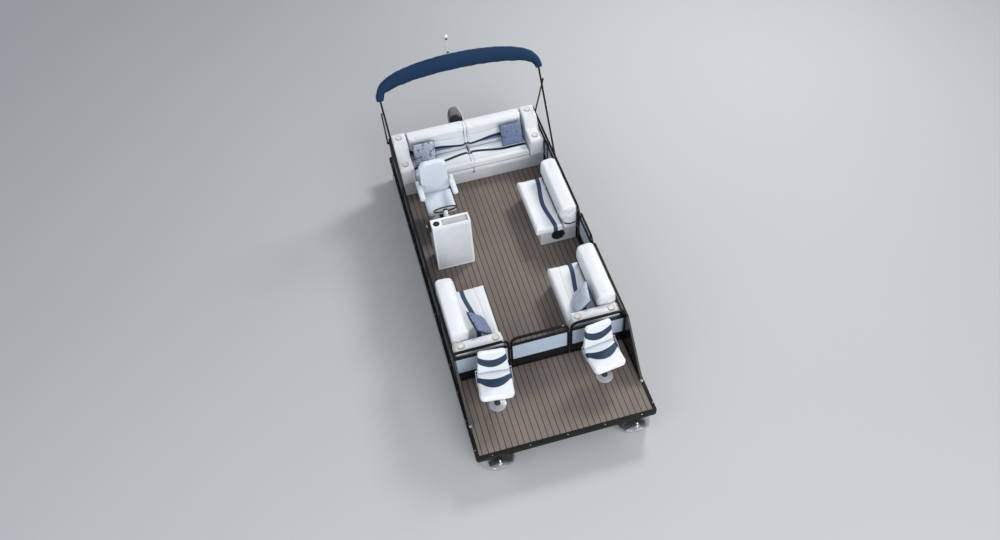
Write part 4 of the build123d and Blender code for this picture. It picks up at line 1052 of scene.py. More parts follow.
crease("fishing_back_pad_port", past_back_arc(1), (1, 0, 0.1), 0.004, 0.008)
crease("fishing_back_pad_port", past_back_arc(0), (1, 0, 0.1), 0.004, 0.008)
crease("helm_back_pad", lambda x, y, z: round_frame(y - HELM_Y, z - 1.235, 0.185, 0.265, 0.10), AHEAD, 0.006,
       0.010, 0.3)
crease("helm_seat_pad", lambda x, y, z: round_frame(y - HELM_Y, x + 1.415, 0.185, 0.185, 0.06), UP, 0.005,
       0.010, 0.3)
crease("helm_seat_pad", lambda x, y, z: x + 1.245, UP, 0.004, 0.010, 0.3)
cut_cups("couch_arm_port", COUCH_CUPS)
cut_cups("bench_arm_port", BENCH_CUPS)

# columns: port pad, material, body, CAD node
for name, key, body, node in (
        ("couch_seat_port", "couch_seat", "hull", "couch_seats"),
        ("couch_back_port", "side_back", "hull", "couch_backs"),
        ("couch_arm_port", "vinyl", "hull", "couch_arms"),
        ("bench_seat_port", "bench_seat", "hull", "bench_seats"),
        ("bench_back_port", "bench_back", "hull", "bench_backs"),
        ("bench_arm_port", "vinyl", "hull", "bench_arms"),
        ("fishing_seat_pad_port", "chair_seat", "chair_port", "fishing_seat_port"),
        ("fishing_back_pad_port", "chair_back", "chair_back_port", "fishing_back_port")):
    twin = mirrored(PADS[name]["obj"], name.replace("port", "starboard"))
    upholster(PADS[name]["obj"], key, body, node)
    upholster(twin, key, body.replace("port", "starboard"), node.replace("port", "starboard"))
upholster(PADS["lounge_seat_pad"]["obj"], "lounge_seat", "lounge_lid", "lounge_seat")
upholster(PADS["lounge_back_pad"]["obj"], "side_back", "hull", "lounge_back")
upholster(PADS["helm_seat_pad"]["obj"], "helm_vinyl_painted_shade", "helm_chair", "helm_seat")
upholster(PADS["helm_back_pad"]["obj"], "helm_vinyl_painted_shade", "helm_chair", "helm_back")


# Welts: piping laid on the padded pieces

def surface(name):
    mesh = bpy.data.objects[name].data
    return BVHTree.FromPolygons([v.co for v in mesh.vertices], [p.vertices for p in mesh.polygons])


def snapped(name, points, lift):
    """Points moved onto the nearest spot of a piece's surface."""
    tree = surface(name)
    made = []
    for p in points:
        spot, normal, _, _ = tree.find_nearest(Vector(p))
        made.append(spot + normal * lift)
    return made


def eased(points, rounds=3, closed=True):
    """Even out a line of points."""
    total = len(points)
    for _ in range(rounds):
        points = [p * 0.5 + (points[i - 1] + points[(i + 1) % total]) * 0.25
                  if closed or 0 < i < total - 1 else p for i, p in enumerate(points)]
    return points


def frame_points(half_a, half_b, corner):
    """Points round a rounded rectangle, as pairs."""
    made = []
    for a, b, start in ((1, 1, 0), (-1, 1, 90), (-1, -1, 180), (1, -1, 270)):
        for angle in [math.radians(start + 15 * k) for k in range(7)]:
            made.append((a * (half_a - corner) + corner * math.cos(angle),
                         b * (half_b - corner) + corner * math.sin(angle)))
    dense = []
    for (a0, b0), (a1, b1) in zip(made, made[1:] + made[:1]):
        steps = max(1, int(math.hypot(a1 - a0, b1 - b0) / 0.02))
        dense += [(a0 + (a1 - a0) * k / steps, b0 + (b1 - b0) * k / steps) for k in range(steps)]
    return dense


def welts():
    """Piping round the side backs' ends and the helm chair."""
    hull = Shape()
    # columns: back, its side, its ends in x
    rows = [("couch_back_port", 1, (0.388, 1.406)), ("couch_back_starboard", -1, (0.388, 1.406)),
            ("lounge_back_pad", 1, (-1.494, -0.366))]
    for name, way, ends in rows:
        for x in ends:
            ring = [(x, way * (1.10 + 0.14 * math.cos(t)), 1.03 + 0.25 * math.sin(t)) for t in turns(72)]
            hull.tube(eased(snapped(name, ring, 0.0005)), 0.0032, "vinyl", closed=True, segments=8)
    hull.piece("back_welts", "hull", "vinyl_white")
    chair = Shape()
    back = [(-1.62, HELM_Y + a, 1.2175 + b) for a, b in frame_points(0.238, 0.335, 0.15)]
    seat = [(-1.4075 + a, HELM_Y + b, 0.972) for a, b in frame_points(0.232, 0.236, 0.05)]
    for name, ring in (("helm_back_pad", back), ("helm_seat_pad", seat)):
        chair.tube(eased(snapped(name, ring, 0.0010), 6), 0.0055, "helm_piping", closed=True, segments=8)
    chair.piece("helm_welts", "helm_chair", "vinyl_white")


def centre_welts():
    """Soft welts in the grooves where the bench's halves meet, with the stripes carried across."""
    # columns: part of the bench, a point inside it, first and last angle round that point
    rows = [("bench_seat", -2.360, 0.830, -22, 96), ("bench_back", -2.720, 1.050, -38, 110)]
    for part, x, z, first, last in rows:
        tree = surface(part + "_port")
        line = []
        for k in range(61):
            a = math.radians(first + (last - first) * k / 60)
            way = Vector((math.cos(a), 0.0, math.sin(a)))
            spot = tree.ray_cast(Vector((x, 0.045, z)) + way, -way)[0]
            if spot is not None:
                line.append(Vector((spot.x, 0.0, spot.z)) - way * 0.0258)
        made = Shape()
        made.tube(eased(line, 4, False), 0.0240, part, segments=24)
        made.piece(part + "_centre_welt", "hull", "vinyl_white")


def helm_arms():
    """Padded armrests: a bar from the back that widens into a rounded pad, with piping."""
    aft, fore, height = -1.742, -1.297, 1.160
    for way, label in ((-1, "starboard"), (1, "port")):
        rings = []
        sides = [[], []]
        for k in range(49):
            x = aft + (fore - aft) * k / 48
            grown = smooth01((x + 1.660) / 0.060)
            y = HELM_Y + way * (0.278 - 0.015 * grown)
            near_end = min((x - aft) / 0.020, (fore - x) / 0.040, 1.0)
            taper = max(1 - (1 - near_end) ** 2.6, 0.0) ** 0.5 * 0.9 + 0.1
            wide = (0.0255 + 0.0157 * grown) * taper
            high = (0.0205 + 0.0072 * grown) * (0.5 + 0.5 * taper)
            z = height + 0.0035 * grown
            rings.append([(x, y + wide * bulged(math.cos(a), 0.55), z + high * bulged(math.sin(a), 0.75))
                          for a in turns(32)])
            for line, side in zip(sides, (1, -1)):
                line.append((x, y + side * (wide - 0.0006), z))
        arm = Shape()
        arm.rings(rings, "helm_vinyl_painted_shade")
        arm.tube(sides[0] + sides[1][::-1], 0.0042, "helm_piping", closed=True, segments=8)
        obj = arm.piece("helm_arm_" + label, "helm_chair", "vinyl_white", ("helm_arms",), 60)
        bar = Shape()
        bar.tube([(-1.710, HELM_Y + way * across, height) for across in (0.242, 0.268)], 0.013, "satin")
        bar.piece("helm_arm_bracket_" + label, "helm_chair", "pedestal_metal", ("helm_arms",))


welts()
centre_welts()
helm_arms()


# Cup holders

def cups():
    """Turned liners in the arms' cup bores."""
    # columns: radius past the bore, height
    rim = [(0.0075, -0.004), (0.009, 0.0005), (0.006, 0.0028), (0.001, 0.0026), (-0.0015, 0.0),
           (-0.0018, -0.006), (-0.0035, -0.05), (-0.006, -0.0605), (-0.012, -0.0625)]
    profile = [(CUP_R + r, z) for r, z in rim] + [(0.012, -0.0615), (0.006, -0.0610), (0.0, -0.0610)]
    made = Shape()
    for way in (-1, 1):
        for x, y, top in COUCH_CUPS + BENCH_CUPS:
            place = at(x, way * y, top)
            made.lathe(profile, "cream", place)
            for turn in (0, 120, 240):
                made.slab((0.010, -0.0015, -0.0625), (0.030, 0.0015, -0.0595), 0.0008, "cream",
                          place @ spin(turn), 2)
    made.piece("cup_liners", "hull", "base_white")


cups()


# Pillows

def pillow_faces(count, index):
    """Points of a pillow's top and bottom on a square grid, plump, rippled and puckered at the seam."""
    half, plump = 0.184, 0.0545
    top = []
    bottom = []
    steps = [2 * i / count - 1 for i in range(count + 1)]
    for u in steps:
        for v in steps:
            x = half * u * (1 - 0.030 * (1 - v * v) * abs(u) ** 3)
            y = half * v * (1 - 0.030 * (1 - u * u) * abs(v) ** 3)
            fat = max(0.0, (1 - u ** 4) * (1 - v ** 4)) ** 0.55
            ripple = 0.0035 * math.sin(5.0 * u + 3.0 * v + index) * math.sin(4.0 * v - 2.0 * u) * fat
            pucker = 0.003 * math.cos(14 * (u + v)) * (1 - fat) * fat
            top.append((x, y, plump * fat + ripple * 0.6 + pucker))
            bottom.append((x, y, -plump * fat + ripple * 0.4 - pucker))
    return top, bottom


def pillows():
    """Four square scatter cushions with piped edges and dark backs, each where its CAD solid is."""
    count = 30
    wide = count + 1
    solids = [points for points, _ in solids_of("pillows")]
    cells = [i * wide + j for i in range(count) for j in range(count)]
    edge = [(i, 0) for i in range(count)] + [(count, j) for j in range(count)]
    edge += [(count - i, count - j) for i, j in edge]
    # columns: x, y, turn, tip from flat, material
    rows = [(-2.405, 0.745, 0.0, 66.0, "pillow_dark"), (-2.405, -0.745, 0.0, 66.0, "pillow_pale"),
            (1.214, 0.764, 261.0, 58.0, "pillow_lilac"), (1.210, -0.752, 101.0, 52.0, "pillow_blue")]
    for index, (x, y, turn, tip, key) in enumerate(rows):
        spot = Vector((x, y, 1.1))
        low, high = corners_of(min(solids, key=lambda s: (sum(s, Vector()) / len(s) - spot).length))
        top, bottom = pillow_faces(count, index)
        made = Shape()
        made.add(top, [(a, a + wide, a + wide + 1, a + 1) for a in cells], key)
        made.add(bottom, [(a, a + 1, a + wide + 1, a + wide) for a in cells], "pillow_back")
        made.tube([top[i * wide + j] for i, j in edge], 0.0040, "pillow_back", closed=True, segments=8)
        place = at(*(low + high) / 2) @ spin(turn) @ spin(tip, "Y")
        obj = made.piece("pillow_%d" % (index + 1), "hull", "pillow_grey", ("pillows",), None, place)


pillows()


# Canopy boot and light

LEAN = math.radians(47.0)
FOOT = Vector((-1.610, 0.0, DECK + 0.735))
LIGHT_Y = -0.085
LIGHT_FOOT = 1.770 + 0.1366
LIGHT_CAP = 0.026


def lean(across, along, out=0.0):
    """A point of the raked canopy plane: across, up the leg, and square to the plane."""
    return Vector((FOOT.x - along * math.cos(LEAN) + out * math.sin(LEAN), across,
                   FOOT.z + along * math.sin(LEAN) + out * math.cos(LEAN)))


def centre(points):
    return sum(points, Vector()) / len(points)


def closing(end, before):
    """Three ever smaller rings that close a sleeve past its end ring."""
    middle = centre(end)
    out = (middle - centre(before)).normalized()
    return [[middle + (q - middle) * share + out * 0.010 * (1 - share) for q in end]
            for share in (0.92, 0.7, 0.35)]


def folds(s, x, ca, sa):
    """How far the cloth stands out at the length s: slack folds, deeper below and at the ends, and
    fine ones."""
    depth = 0.0020 + 0.0045 * min(abs(x) / 1.25, 1.0) ** 4
    slack = depth * math.sin(21.0 * s + 2.2 * math.sin(3.1 * s) + 3.0 * ca) * (0.35 + 0.65 * max(0.0, -sa))
    return slack + 0.0014 * math.sin(47.0 * s + 4.0 * sa + 1.3 * math.sin(9.0 * s))


def boot():
    """The stowed canopy in its boot: one long sleeve over the bow, full in the middle, with drooping ends."""
    stations, around, around_pitch = 150, 44, 0.0115
    # columns: across, up the leg, half height, half thickness
    half = [(0.0, 1.772, 0.126, 0.074), (0.33, 1.764, 0.124, 0.074), (0.66, 1.735, 0.118, 0.073),
            (0.90, 1.695, 0.110, 0.071), (1.06, 1.652, 0.100, 0.069), (1.17, 1.605, 0.085, 0.066),
            (1.245, 1.545, 0.068, 0.063), (1.283, 1.475, 0.059, 0.060), (1.292, 1.425, 0.056, 0.056),
            (1.294, 1.396, 0.050, 0.050)]
    stops = [(-a, b, c, d) for a, b, c, d in half[:0:-1]] + half
    line = [Vector((a, b, 0.0)) for a, b, _, _ in stops]
    path = spline(line, stations)
    lengths = run_lengths(path)
    spots = [min(range(stations), key=lambda i: (path[i] - p).length) for p in line]
    highs, thicks = (np.interp(range(stations), spots, [stop[k] for stop in stops]) for k in (2, 3))
    rings = []
    for i, p in enumerate(path):
        way = (path[min(i + 1, stations - 1)] - path[max(i - 1, 0)]).normalized()
        up = Vector((-way.y, way.x, 0.0))
        ring = []
        for a in turns(around):
            ca, sa = math.cos(a), math.sin(a)
            full = 0.98 + folds(lengths[i], p.x, ca, sa) / max(highs[i], 0.02)
            spot = p + up * (highs[i] * bulged(sa, 0.86) * full)
            ring.append(lean(spot.x, spot.y, thicks[i] * bulged(ca, 0.86) * full))
        rings.append(ring)
    rings = closing(rings[0], rings[1])[::-1] + rings + closing(rings[-1], rings[-2])
    made = Shape()
    made.rings(rings, "canvas")
    obj = made.piece("canopy_boot", "canopy", "canopy_navy", ("bimini_boot",), None)
    layer = obj.data.uv_layers.new(name="cloth")
    corners = obj.data.loops
    for polygon in obj.data.polygons:
        past_middle = any(corners[k].vertex_index % around > around / 2 for k in polygon.loop_indices)
        for loop in polygon.loop_indices:
            i, j = divmod(corners[loop].vertex_index, around)
            if j == 0 and past_middle:
                j = around
            layer.data[loop].uv = (lengths[min(max(i - 3, 0), stations - 1)], j * around_pitch)
    welt = Shape()
    # painted highlight: the upper welt in the paler canvas, the lower one in the plain canvas
    for j, key in ((around // 4 - 2, "canvas_painted_highlight"), (around * 3 // 4, "canvas")):
        welt.tube([r[j] for r in rings[4:-4]], 0.0055, key, segments=8)
    welt.piece("canopy_boot_welts", "canopy", "canopy_navy", (), 40)


boot()


def pole_material():
    """White pole with a black collar."""
    net = coated("pole", (0.78, 0.78, 0.77), 0.3, None, 0.001, (300.0, 0.0001), 0.04, 0.2, Coat_Weight=0.3)
    collar = lean(LIGHT_Y, LIGHT_FOOT + LIGHT_CAP).z + 0.2275
    above = net.step(net.axis("Z"), collar, collar + 0.0015)
    net.set(Base_Color=net.mix(above, net.wired("Base Color"), (0.014, 0.014, 0.015)))


def light():
    """All-round light: base, slim pole, collar and frosted globe."""
    foot = lean(LIGHT_Y, LIGHT_FOOT)
    cap = lean(LIGHT_Y, LIGHT_FOOT + LIGHT_CAP)
    turn = (cap - foot).normalized().to_track_quat("Z", "Y").to_matrix().to_4x4()
    mast = Shape()
    mast.lathe([(0.0215, 0.0), (0.0218, 0.012), (0.018, 0.020), (0.010, 0.0255), (0.0, LIGHT_CAP)], "black",
               at(*foot) @ turn, 32)
    mast.lathe([(0.0078, -0.018), (0.0076, 0.228), (0.0190, 0.2295), (0.0197, 0.234), (0.0197, 0.255),
                (0.0180, 0.2615), (0.010, 0.262)], "pole", at(*cap), 32)
    mast.piece("light_mast", "canopy", "light_white", ("light_pole",))
    globe = Shape()
    globe.lathe([(0.018, 0.2625), (0.0245, 0.270), (0.0278, 0.283), (0.0262, 0.297), (0.0205, 0.3065),
                 (0.011, 0.3125), (0.0, 0.3135)], "globe", at(*cap), 40)
    globe.piece("light_dome", "canopy", "light_white", ("light_globe",))


# Console and helm

def console_details():
    """Front panel, raised rim on three sides of the top, ribbed tray liner and cup liner."""
    top = DECK + 0.960
    front = CONSOLE_FRONT
    y0, y1 = CONSOLE_Y - CONSOLE_HALF, CONSOLE_Y + CONSOLE_HALF
    made = Shape()
    made.slab((front - 0.001, y0 + 0.030, DECK + 0.045), (front + 0.0035, y1 - 0.030, top - 0.045), 0.0018,
              "panel_grey")
    for length, low, high in ((0.186, y0 + 0.004, y0 + 0.016), (0.186, y1 - 0.016, y1 - 0.004),
                              (0.016, y0 + 0.004, y1 - 0.004)):
        made.slab((front - length, low, top - 0.0005), (front - 0.003, high, top + 0.0055), 0.0022, "console")
    x0, x1 = front - 0.165, front - 0.035
    low, high = CONSOLE_Y - 0.130, CONSOLE_Y + 0.265
    made.slab((x0 + 0.0015, low + 0.0015, top - 0.0245), (x1 - 0.0015, high - 0.0015, top - 0.0215), 0.001,
              "tray")
    for k in range(9):
        y = low + 0.025 + k * 0.043
        made.slab((x0 + 0.008, y - 0.004, top - 0.022), (x1 - 0.008, y + 0.004, top - 0.0195), 0.0012, "tray")
    # columns: radius past the bore, height
    rim = [(0.008, 0.0002), (0.0085, 0.0020), (0.004, 0.0034), (-0.0005, 0.0020), (-0.0015, -0.003),
           (-0.0035, -0.052), (-0.009, -0.0590)]
    made.lathe([(CUP_R + r, z) for r, z in rim] + [(0.008, -0.0585), (0.0, -0.0585)], "black",
               at(front - 0.095, CONSOLE_Y - 0.215, top))
    made.piece("console_fittings", "hull", "console_white")


def dash():
    """Three gauges with bezels, ticks and needles, a switch row and the ignition key."""
    high = Vector((-0.638, 0, DECK + 0.930))
    low = Vector((-0.798, 0, DECK + 0.730))
    along = (low - high).normalized()
    out = Vector((along.z, 0, -along.x))

    def on_dash(share, across):
        """A place on the sloping dash: the share of the way down it, and across from its middle."""
        spot = high + (low - high) * share
        return framed((0, 1, 0), -along, out, (spot.x, CONSOLE_Y + across, spot.z))

    gauges = Shape()
    for across in (-0.150, 0.0, 0.150):
        place = on_dash(0.36, across)
        gauges.lathe([(0.0455, 0.0005), (0.0458, 0.006), (0.0440, 0.0088), (0.0405, 0.0084), (0.0390, 0.0062),
                      (0.0388, 0.0045)], "bolt", place)
        gauges.lathe([(0.0390, 0.0048), (0.010, 0.0050), (0.0, 0.0050)], "glass", place)
        for k in range(11):
            inner = 0.0265 if k % 2 == 0 else 0.0295
            gauges.slab((inner, -0.0007, 0.0050), (0.0345, 0.0007, 0.0055), 0.0002, "tick",
                        place @ spin(-225 + 27 * k), 1)
        gauges.slab((-0.006, -0.0010, 0.0056), (0.029, 0.0010, 0.0064), 0.0003, "needle",
                    place @ spin(-160 + across * 400), 1)
        gauges.lathe([(0.0045, 0.0056), (0.0040, 0.0074), (0.0, 0.0076)], "black", place, 20)
    gauges.piece("dash_gauges", "hull", "gauge_black", ("gauges",))
    made = Shape()
    for k in range(6):
        place = on_dash(0.74, 0.075 + k * 0.034)
        made.slab((-0.012, -0.020, 0.0), (0.012, 0.020, 0.004), 0.0014, "black", place, 2)
        made.slab((-0.008, -0.015, 0.003), (0.008, 0.015, 0.0085), 0.0022, "black", place, 2)
        made.slab((-0.003, 0.007, 0.0080), (0.003, 0.010, 0.0090), 0.0004, "tick", place, 1)
    place = on_dash(0.74, -0.200)
    made.lathe([(0.017, 0.0), (0.017, 0.004), (0.012, 0.007), (0.0, 0.007)], "bolt", place, 32)
    made.slab((-0.0015, -0.011, 0.006), (0.0015, 0.011, 0.030), 0.001, "satin", place, 2)
    made.piece("dash_switches", "hull", "gauge_black")


def wheel():
    """Steering wheel: moulded rim with finger grips, dished spokes and a hub cap."""
    tilt = math.radians(32.0)
    rim_r, grip_r, fingers = 0.175, 0.0125, 36
    out = Vector((-math.cos(tilt), 0, math.sin(tilt)))
    across = Vector((0, 1, 0))
    place = framed(across, out.cross(across), out, (-0.885, CONSOLE_Y, DECK + 0.830))
    made = Shape()
    rings = []
    for a in turns(144):
        ring = []
        for b in turns(16):
            r = grip_r + (0.0 if math.cos(b) > 0 else 0.0007 * math.cos(fingers * a))
            far = rim_r + r * math.cos(b)
            ring.append((far * math.cos(a), far * math.sin(a), r * math.sin(b)))
        rings.append(ring)
    made.rings(rings, "wheel", place, closed=True)
    for angle in (0, 90, 180):
        rings = []
        for t in [k / 8 for k in range(9)]:
            wide = 0.0125 + 0.0015 * math.cos(2 * math.pi * t)
            rings.append([(0.030 + 0.138 * t, wide * math.cos(c), -0.0075 + 0.004 * t + 0.0042 * math.sin(c))
                          for c in turns(20)])
        made.rings(rings, "satin", place @ spin(angle))
    made.lathe([(0.0, -0.0225), (0.036, -0.0225), (0.0375, -0.018), (0.0375, 0.002), (0.034, 0.0060),
                (0.020, 0.0068), (0.0, 0.0069)], "wheel", place)
    made.lathe([(0.021, 0.0060), (0.0205, 0.0074), (0.0, 0.0080)], "satin", place, 32)
    made.piece("wheel_rim", "wheel", "wheel_black", ("steering_wheel",))


def throttle():
    """Side-mount throttle: housing, hub and lever with a grip."""
    x = CONSOLE_FRONT - 0.235
    y = CONSOLE_Y - CONSOLE_HALF
    z = DECK + 0.800
    tip, grip = x + 0.035, z + 0.145
    made = Shape()
    made.slab((x - 0.062, y - 0.042, DECK + 0.703), (x + 0.062, y - 0.0002, DECK + 0.857), 0.014, "black",
              None, 4)
    made.lathe([(0.030, -0.004), (0.030, 0.004), (0.022, 0.012), (0.018, 0.022), (0.0, 0.024)], "satin",
               at(x, y - 0.041, z) @ spin(90, "X"), 36)
    made.tube([(x, y - 0.058, z), (x + 0.012, y - 0.060, z + 0.055), (x + 0.026, y - 0.060, z + 0.110),
               (tip, y - 0.060, z + 0.143)], [0.0095, 0.008, 0.0075, 0.008], "satin", segments=14)
    made.tube([(tip, y - across, grip) for across in (0.074, 0.068, 0.04, 0.006, 0.001)],
              [0.010, 0.016, 0.0165, 0.016, 0.010], "black", segments=20)
    made.piece("throttle_lever", "hull", "wheel_black", ("throttle",))


# Pedestals, gussets and speaker

def pedestals():
    """Low bases with a rolled rim and bolts, black posts and a height lever."""
    # columns: name, x, y, height, base radius, post radius, CAD node
    rows = [("helm_pedestal_turned", -1.425, HELM_Y, 0.3897, 0.160, 0.035, "helm_pedestal"),
            ("fishing_pedestal_port", CHAIR_X, CHAIR_Y, 0.3947, 0.125, 0.028, "fishing_pedestals"),
            ("fishing_pedestal_starboard", CHAIR_X, -CHAIR_Y, 0.3947, 0.125, 0.028, "fishing_pedestals")]
    for name, x, y, top, base, post, node in rows:
        made = Shape()
        place = at(x, y, DECK)
        made.lathe([(base - 0.001, 0.0005), (base, 0.004), (base - 0.002, 0.009), (base - 0.010, 0.012),
                    (base * 0.72, 0.017), (base * 0.5, 0.022), (post + 0.016, 0.028)], "spun", place, 64)
        made.lathe([(post + 0.016, 0.028), (post + 0.014, 0.040), (post + 0.002, 0.048), (post, 0.055),
                    (post, top - 0.060), (post + 0.004, top - 0.058), (post + 0.004, top - 0.030),
                    (post, top - 0.028), (post, top), (0.0, top)], "black", place, 64)
        for a in turns(6, 0.5):
            spot = place @ at((base - 0.022) * math.cos(a), (base - 0.022) * math.sin(a), 0.0130)
            made.lathe([(0.006, -0.002), (0.006, 0.0015), (0.004, 0.0035), (0.0, 0.004)], "bolt", spot, 16)
        made.tube([(0, post + 0.002, top - 0.045), (0, post + 0.050, top - 0.045)], 0.004, "black", place)
        made.piece(name, "hull", "pedestal_metal", (node,))


def chair_crease_shade_rolls():
    """A soft roll in the fold between each bow chair's seat and back, grey-blue as the painted shade of that
    fold.
    """
    half, x, z = 0.232, -0.2140, 0.9840
    ca, sa = math.cos(CHAIR_TURN), math.sin(CHAIR_TURN)
    for way, label in ((1, "port"), (-1, "starboard")):
        line = [(CHAIR_X + x * ca - y * sa, way * (CHAIR_Y + x * sa + y * ca), z)
                for y in [half * (k / 12 - 1) for k in range(25)]]
        made = Shape()
        made.tube(line, 0.0115, "crease_shade_vinyl", segments=14)
        made.piece("fishing_crease_shade_roll_" + label, "chair_back_" + label, "vinyl_white")


def speaker():
    """Round speaker in the lounge's fore face: rim, mesh cone and dust cap."""
    place = framed((0, 1, 0), (0, 0, 1), (1, 0, 0), (-0.415, 0.927, DECK + 0.175))
    made = Shape()
    made.lathe([(0.1075, 0.0), (0.1078, 0.010), (0.1050, 0.0150), (0.0980, 0.0158), (0.0930, 0.0120),
                (0.0900, 0.0085), (0.0840, 0.0075), (0.0790, 0.0090), (0.0740, 0.0075), (0.0500, 0.0035),
                (0.0300, 0.0025), (0.0290, 0.0060), (0.0180, 0.0100), (0.0, 0.0115)], "speaker", place, 72)
    for a in turns(6):
        spot = place @ at(0.1015 * math.cos(a), 0.1015 * math.sin(a), 0.0150)
        made.lathe([(0.0035, 0.0), (0.0030, 0.0016), (0.0, 0.0018)], "bolt", spot, 12)
    for angle in (0, 45, 90, 135):
        made.slab((-0.088, -0.0012, 0.0105), (0.088, 0.0012, 0.0128), 0.0006, "speaker",
                  place @ spin(angle), 1)
    for r in (0.030, 0.050, 0.070):
        made.tube(circle(r, 48, 0.0118), 0.0012, "speaker", place, 6, True)
    made.piece("lounge_speaker_cone", "hull", "speaker_black", ("lounge_speaker",))


console_details()
dash()
wheel()
throttle()
pedestals()
chair_crease_shade_rolls()
speaker()
pole_material()
light()


# Outboard motor

def superring(x0, x1, half, z, power, count, taper=0.0):
    """A rounded outline round the motor at one height, narrower aft by the share taper."""
    middle, long = (x0 + x1) / 2, (x1 - x0) / 2
    return [(middle + long * bulged(math.cos(a), power),
             half * bulged(math.sin(a), power) * (1 - taper * (1 - math.cos(a)) / 2), z)
            for a in turns(count)]


def cowl():
    """The motor's cap with its vents."""
    tray = 0.455 + 0.0753
    # columns: height over the tray, middle in x, length, width, squareness
    table = [(0.0, -0.095, 0.288, 0.212, 0.54), (0.012, -0.095, 0.298, 0.218, 0.54),
             (0.070, -0.090, 0.376, 0.290, 0.52), (0.074, -0.090, 0.370, 0.284, 0.52),
             (0.080, -0.090, 0.378, 0.292, 0.52), (0.160, -0.092, 0.392, 0.306, 0.52),
             (0.240, -0.093, 0.396, 0.312, 0.52), (0.300, -0.096, 0.380, 0.300, 0.54),
             (0.345, -0.101, 0.350, 0.276, 0.58), (0.375, -0.108, 0.302, 0.236, 0.64),
             (0.392, -0.113, 0.256, 0.192, 0.70), (0.401, -0.118, 0.190, 0.132, 0.78),
             (0.4045, -0.120, 0.100, 0.066, 0.87)]
    rings = []
    for height, middle, length, width, power in table:
        x = STEER_X + middle
        taper = 0.34 if height > 0.06 else 0.1
        rings.append(superring(x - length / 2, x + length / 2, width / 2, tray + height, power, 56, taper))
    made = Shape()
    made.rings(rings, "cowl")
    for k in range(3):
        z = tray + 0.285 + 0.030 * k
        x = STEER_X + 0.094 - 0.012 * k
        for way in (-1, 1):
            made.tube([(x - 0.012, way * 0.095, z), (x + 0.001, way * 0.060, z + 0.002),
                       (x + 0.003, way * 0.018, z + 0.002)], 0.0045, "black")
    made.piece("motor_cowl", "motor", "cowl_grey", ("outboard_cowl",), 50)


def motor_leg():
    """The leg with its plate, strut, gearcase, skeg, brackets and water intake."""
    leg = Shape()

    def stack(rows, count):
        """A form from outlines: height, aft and fore end past the steering axis, half width, squareness."""
        leg.rings([superring(STEER_X + aft, STEER_X + fore, half, z, power, count)
                   for z, aft, fore, half, power in rows], "motor")

    stack([(0.530, -0.222, -0.055, 0.058, 0.7), (0.49, -0.224, -0.056, 0.054, 0.7),
           (0.30, -0.216, -0.060, 0.047, 0.8), (0.05, -0.206, -0.062, 0.043, 0.85),
           (-0.19, -0.197, -0.062, 0.040, 0.9), (-0.206, -0.197, -0.060, 0.042, 0.9)], 40)
    stack([(z, grow - 0.308, -0.022 - grow, 0.094 - grow, 0.72)
           for z, grow in ((-0.217, 0.004), (-0.213, 0.0), (-0.209, 0.0), (-0.2055, 0.005))], 48)
    stack([(-0.212, -0.196, -0.062, 0.022, 0.95), (-0.30, -0.188, -0.066, 0.018, 0.95),
           (-0.365, -0.186, -0.066, 0.022, 0.95), (PROP_Z, -0.182, -0.068, 0.034, 0.95)], 40)
    # columns: place past the steering axis, radius
    case = [(0.070, 0.004), (0.066, 0.011), (0.045, 0.022), (0.010, 0.035), (-0.040, 0.0415), (-0.110, 0.042),
            (-0.180, 0.0415), (-0.215, 0.0395), (-0.2185, 0.036)]
    leg.rings([[(STEER_X + x, r * math.cos(a), PROP_Z + r * math.sin(a)) for a in turns(40)]
               for x, r in case], "motor")
    stack([(-0.415 - 0.149 * t, -0.200 + 0.012 * t, -0.020 - 0.098 * t ** 0.8, 0.0062 - 0.003 * t, 1.0)
           for t in (0.0, 0.25, 0.5, 0.75, 1.0)], 28)
    for half, low, high, radius in ((0.060, 0.4985, 0.530, 0.006), (0.040, 0.070, 0.118, 0.008)):
        leg.slab((STEER_X - 0.160, -half, low), (STEER_X + 0.030, half, high), radius, "motor")
    leg.tube([(STEER_X, 0, 0.10), (STEER_X, 0, 0.505)], 0.0199, "motor", segments=32)
    leg.tube([(STEER_X - 0.200, 0, PROP_Z), (STEER_X - 0.305, 0, PROP_Z)], 0.009, "satin", segments=20)
    for k in range(5):
        x = STEER_X - 0.075 - 0.012 * k
        leg.slab((x, -0.0225, -0.300), (x + 0.006, 0.0225, -0.262), 0.0012, "black", None, 1)
    leg.piece("motor_leg", "motor", "motor_black", ("outboard_leg",), 45)


def propeller():
    """Hub and three raked, twisted blades."""
    prop = Shape()
    place = at(STEER_X - 0.256, 0, PROP_Z)
    prop.lathe([(0.0092, -0.034), (0.034, -0.035), (0.0385, -0.030), (0.0395, 0.0), (0.0365, 0.030),
                (0.0340, 0.0345), (0.0240, 0.0348), (0.0225, 0.028), (0.0092, 0.028)], "prop",
               place @ spin(90, "Y"), 40)
    rings = []
    for t in [s / 10 for s in range(11)]:
        chord = 0.040 * (0.80 + 0.9 * t - 1.45 * t ** 3.2) + 0.004
        pitch = math.radians(62 - 30 * t)
        ring = []
        for a in turns(20):
            u = chord * math.cos(a)
            w = (0.0045 - 0.0028 * t) * math.sin(a) + 0.004 * math.sin(a) ** 2
            ring.append((-0.006 * t + u * math.cos(pitch) - w * math.sin(pitch),
                         u * math.sin(pitch) + w * math.cos(pitch) + 0.016 * t * t, 0.034 + 0.118 * t))
        rings.append(ring)
    for angle in (0, 120, 240):
        prop.rings(rings, "prop", place @ spin(angle, "X"))
    prop.piece("motor_propeller", "prop", "prop_alu", ("propeller",), 60)


cowl()
motor_leg()
propeller()


# Small fittings

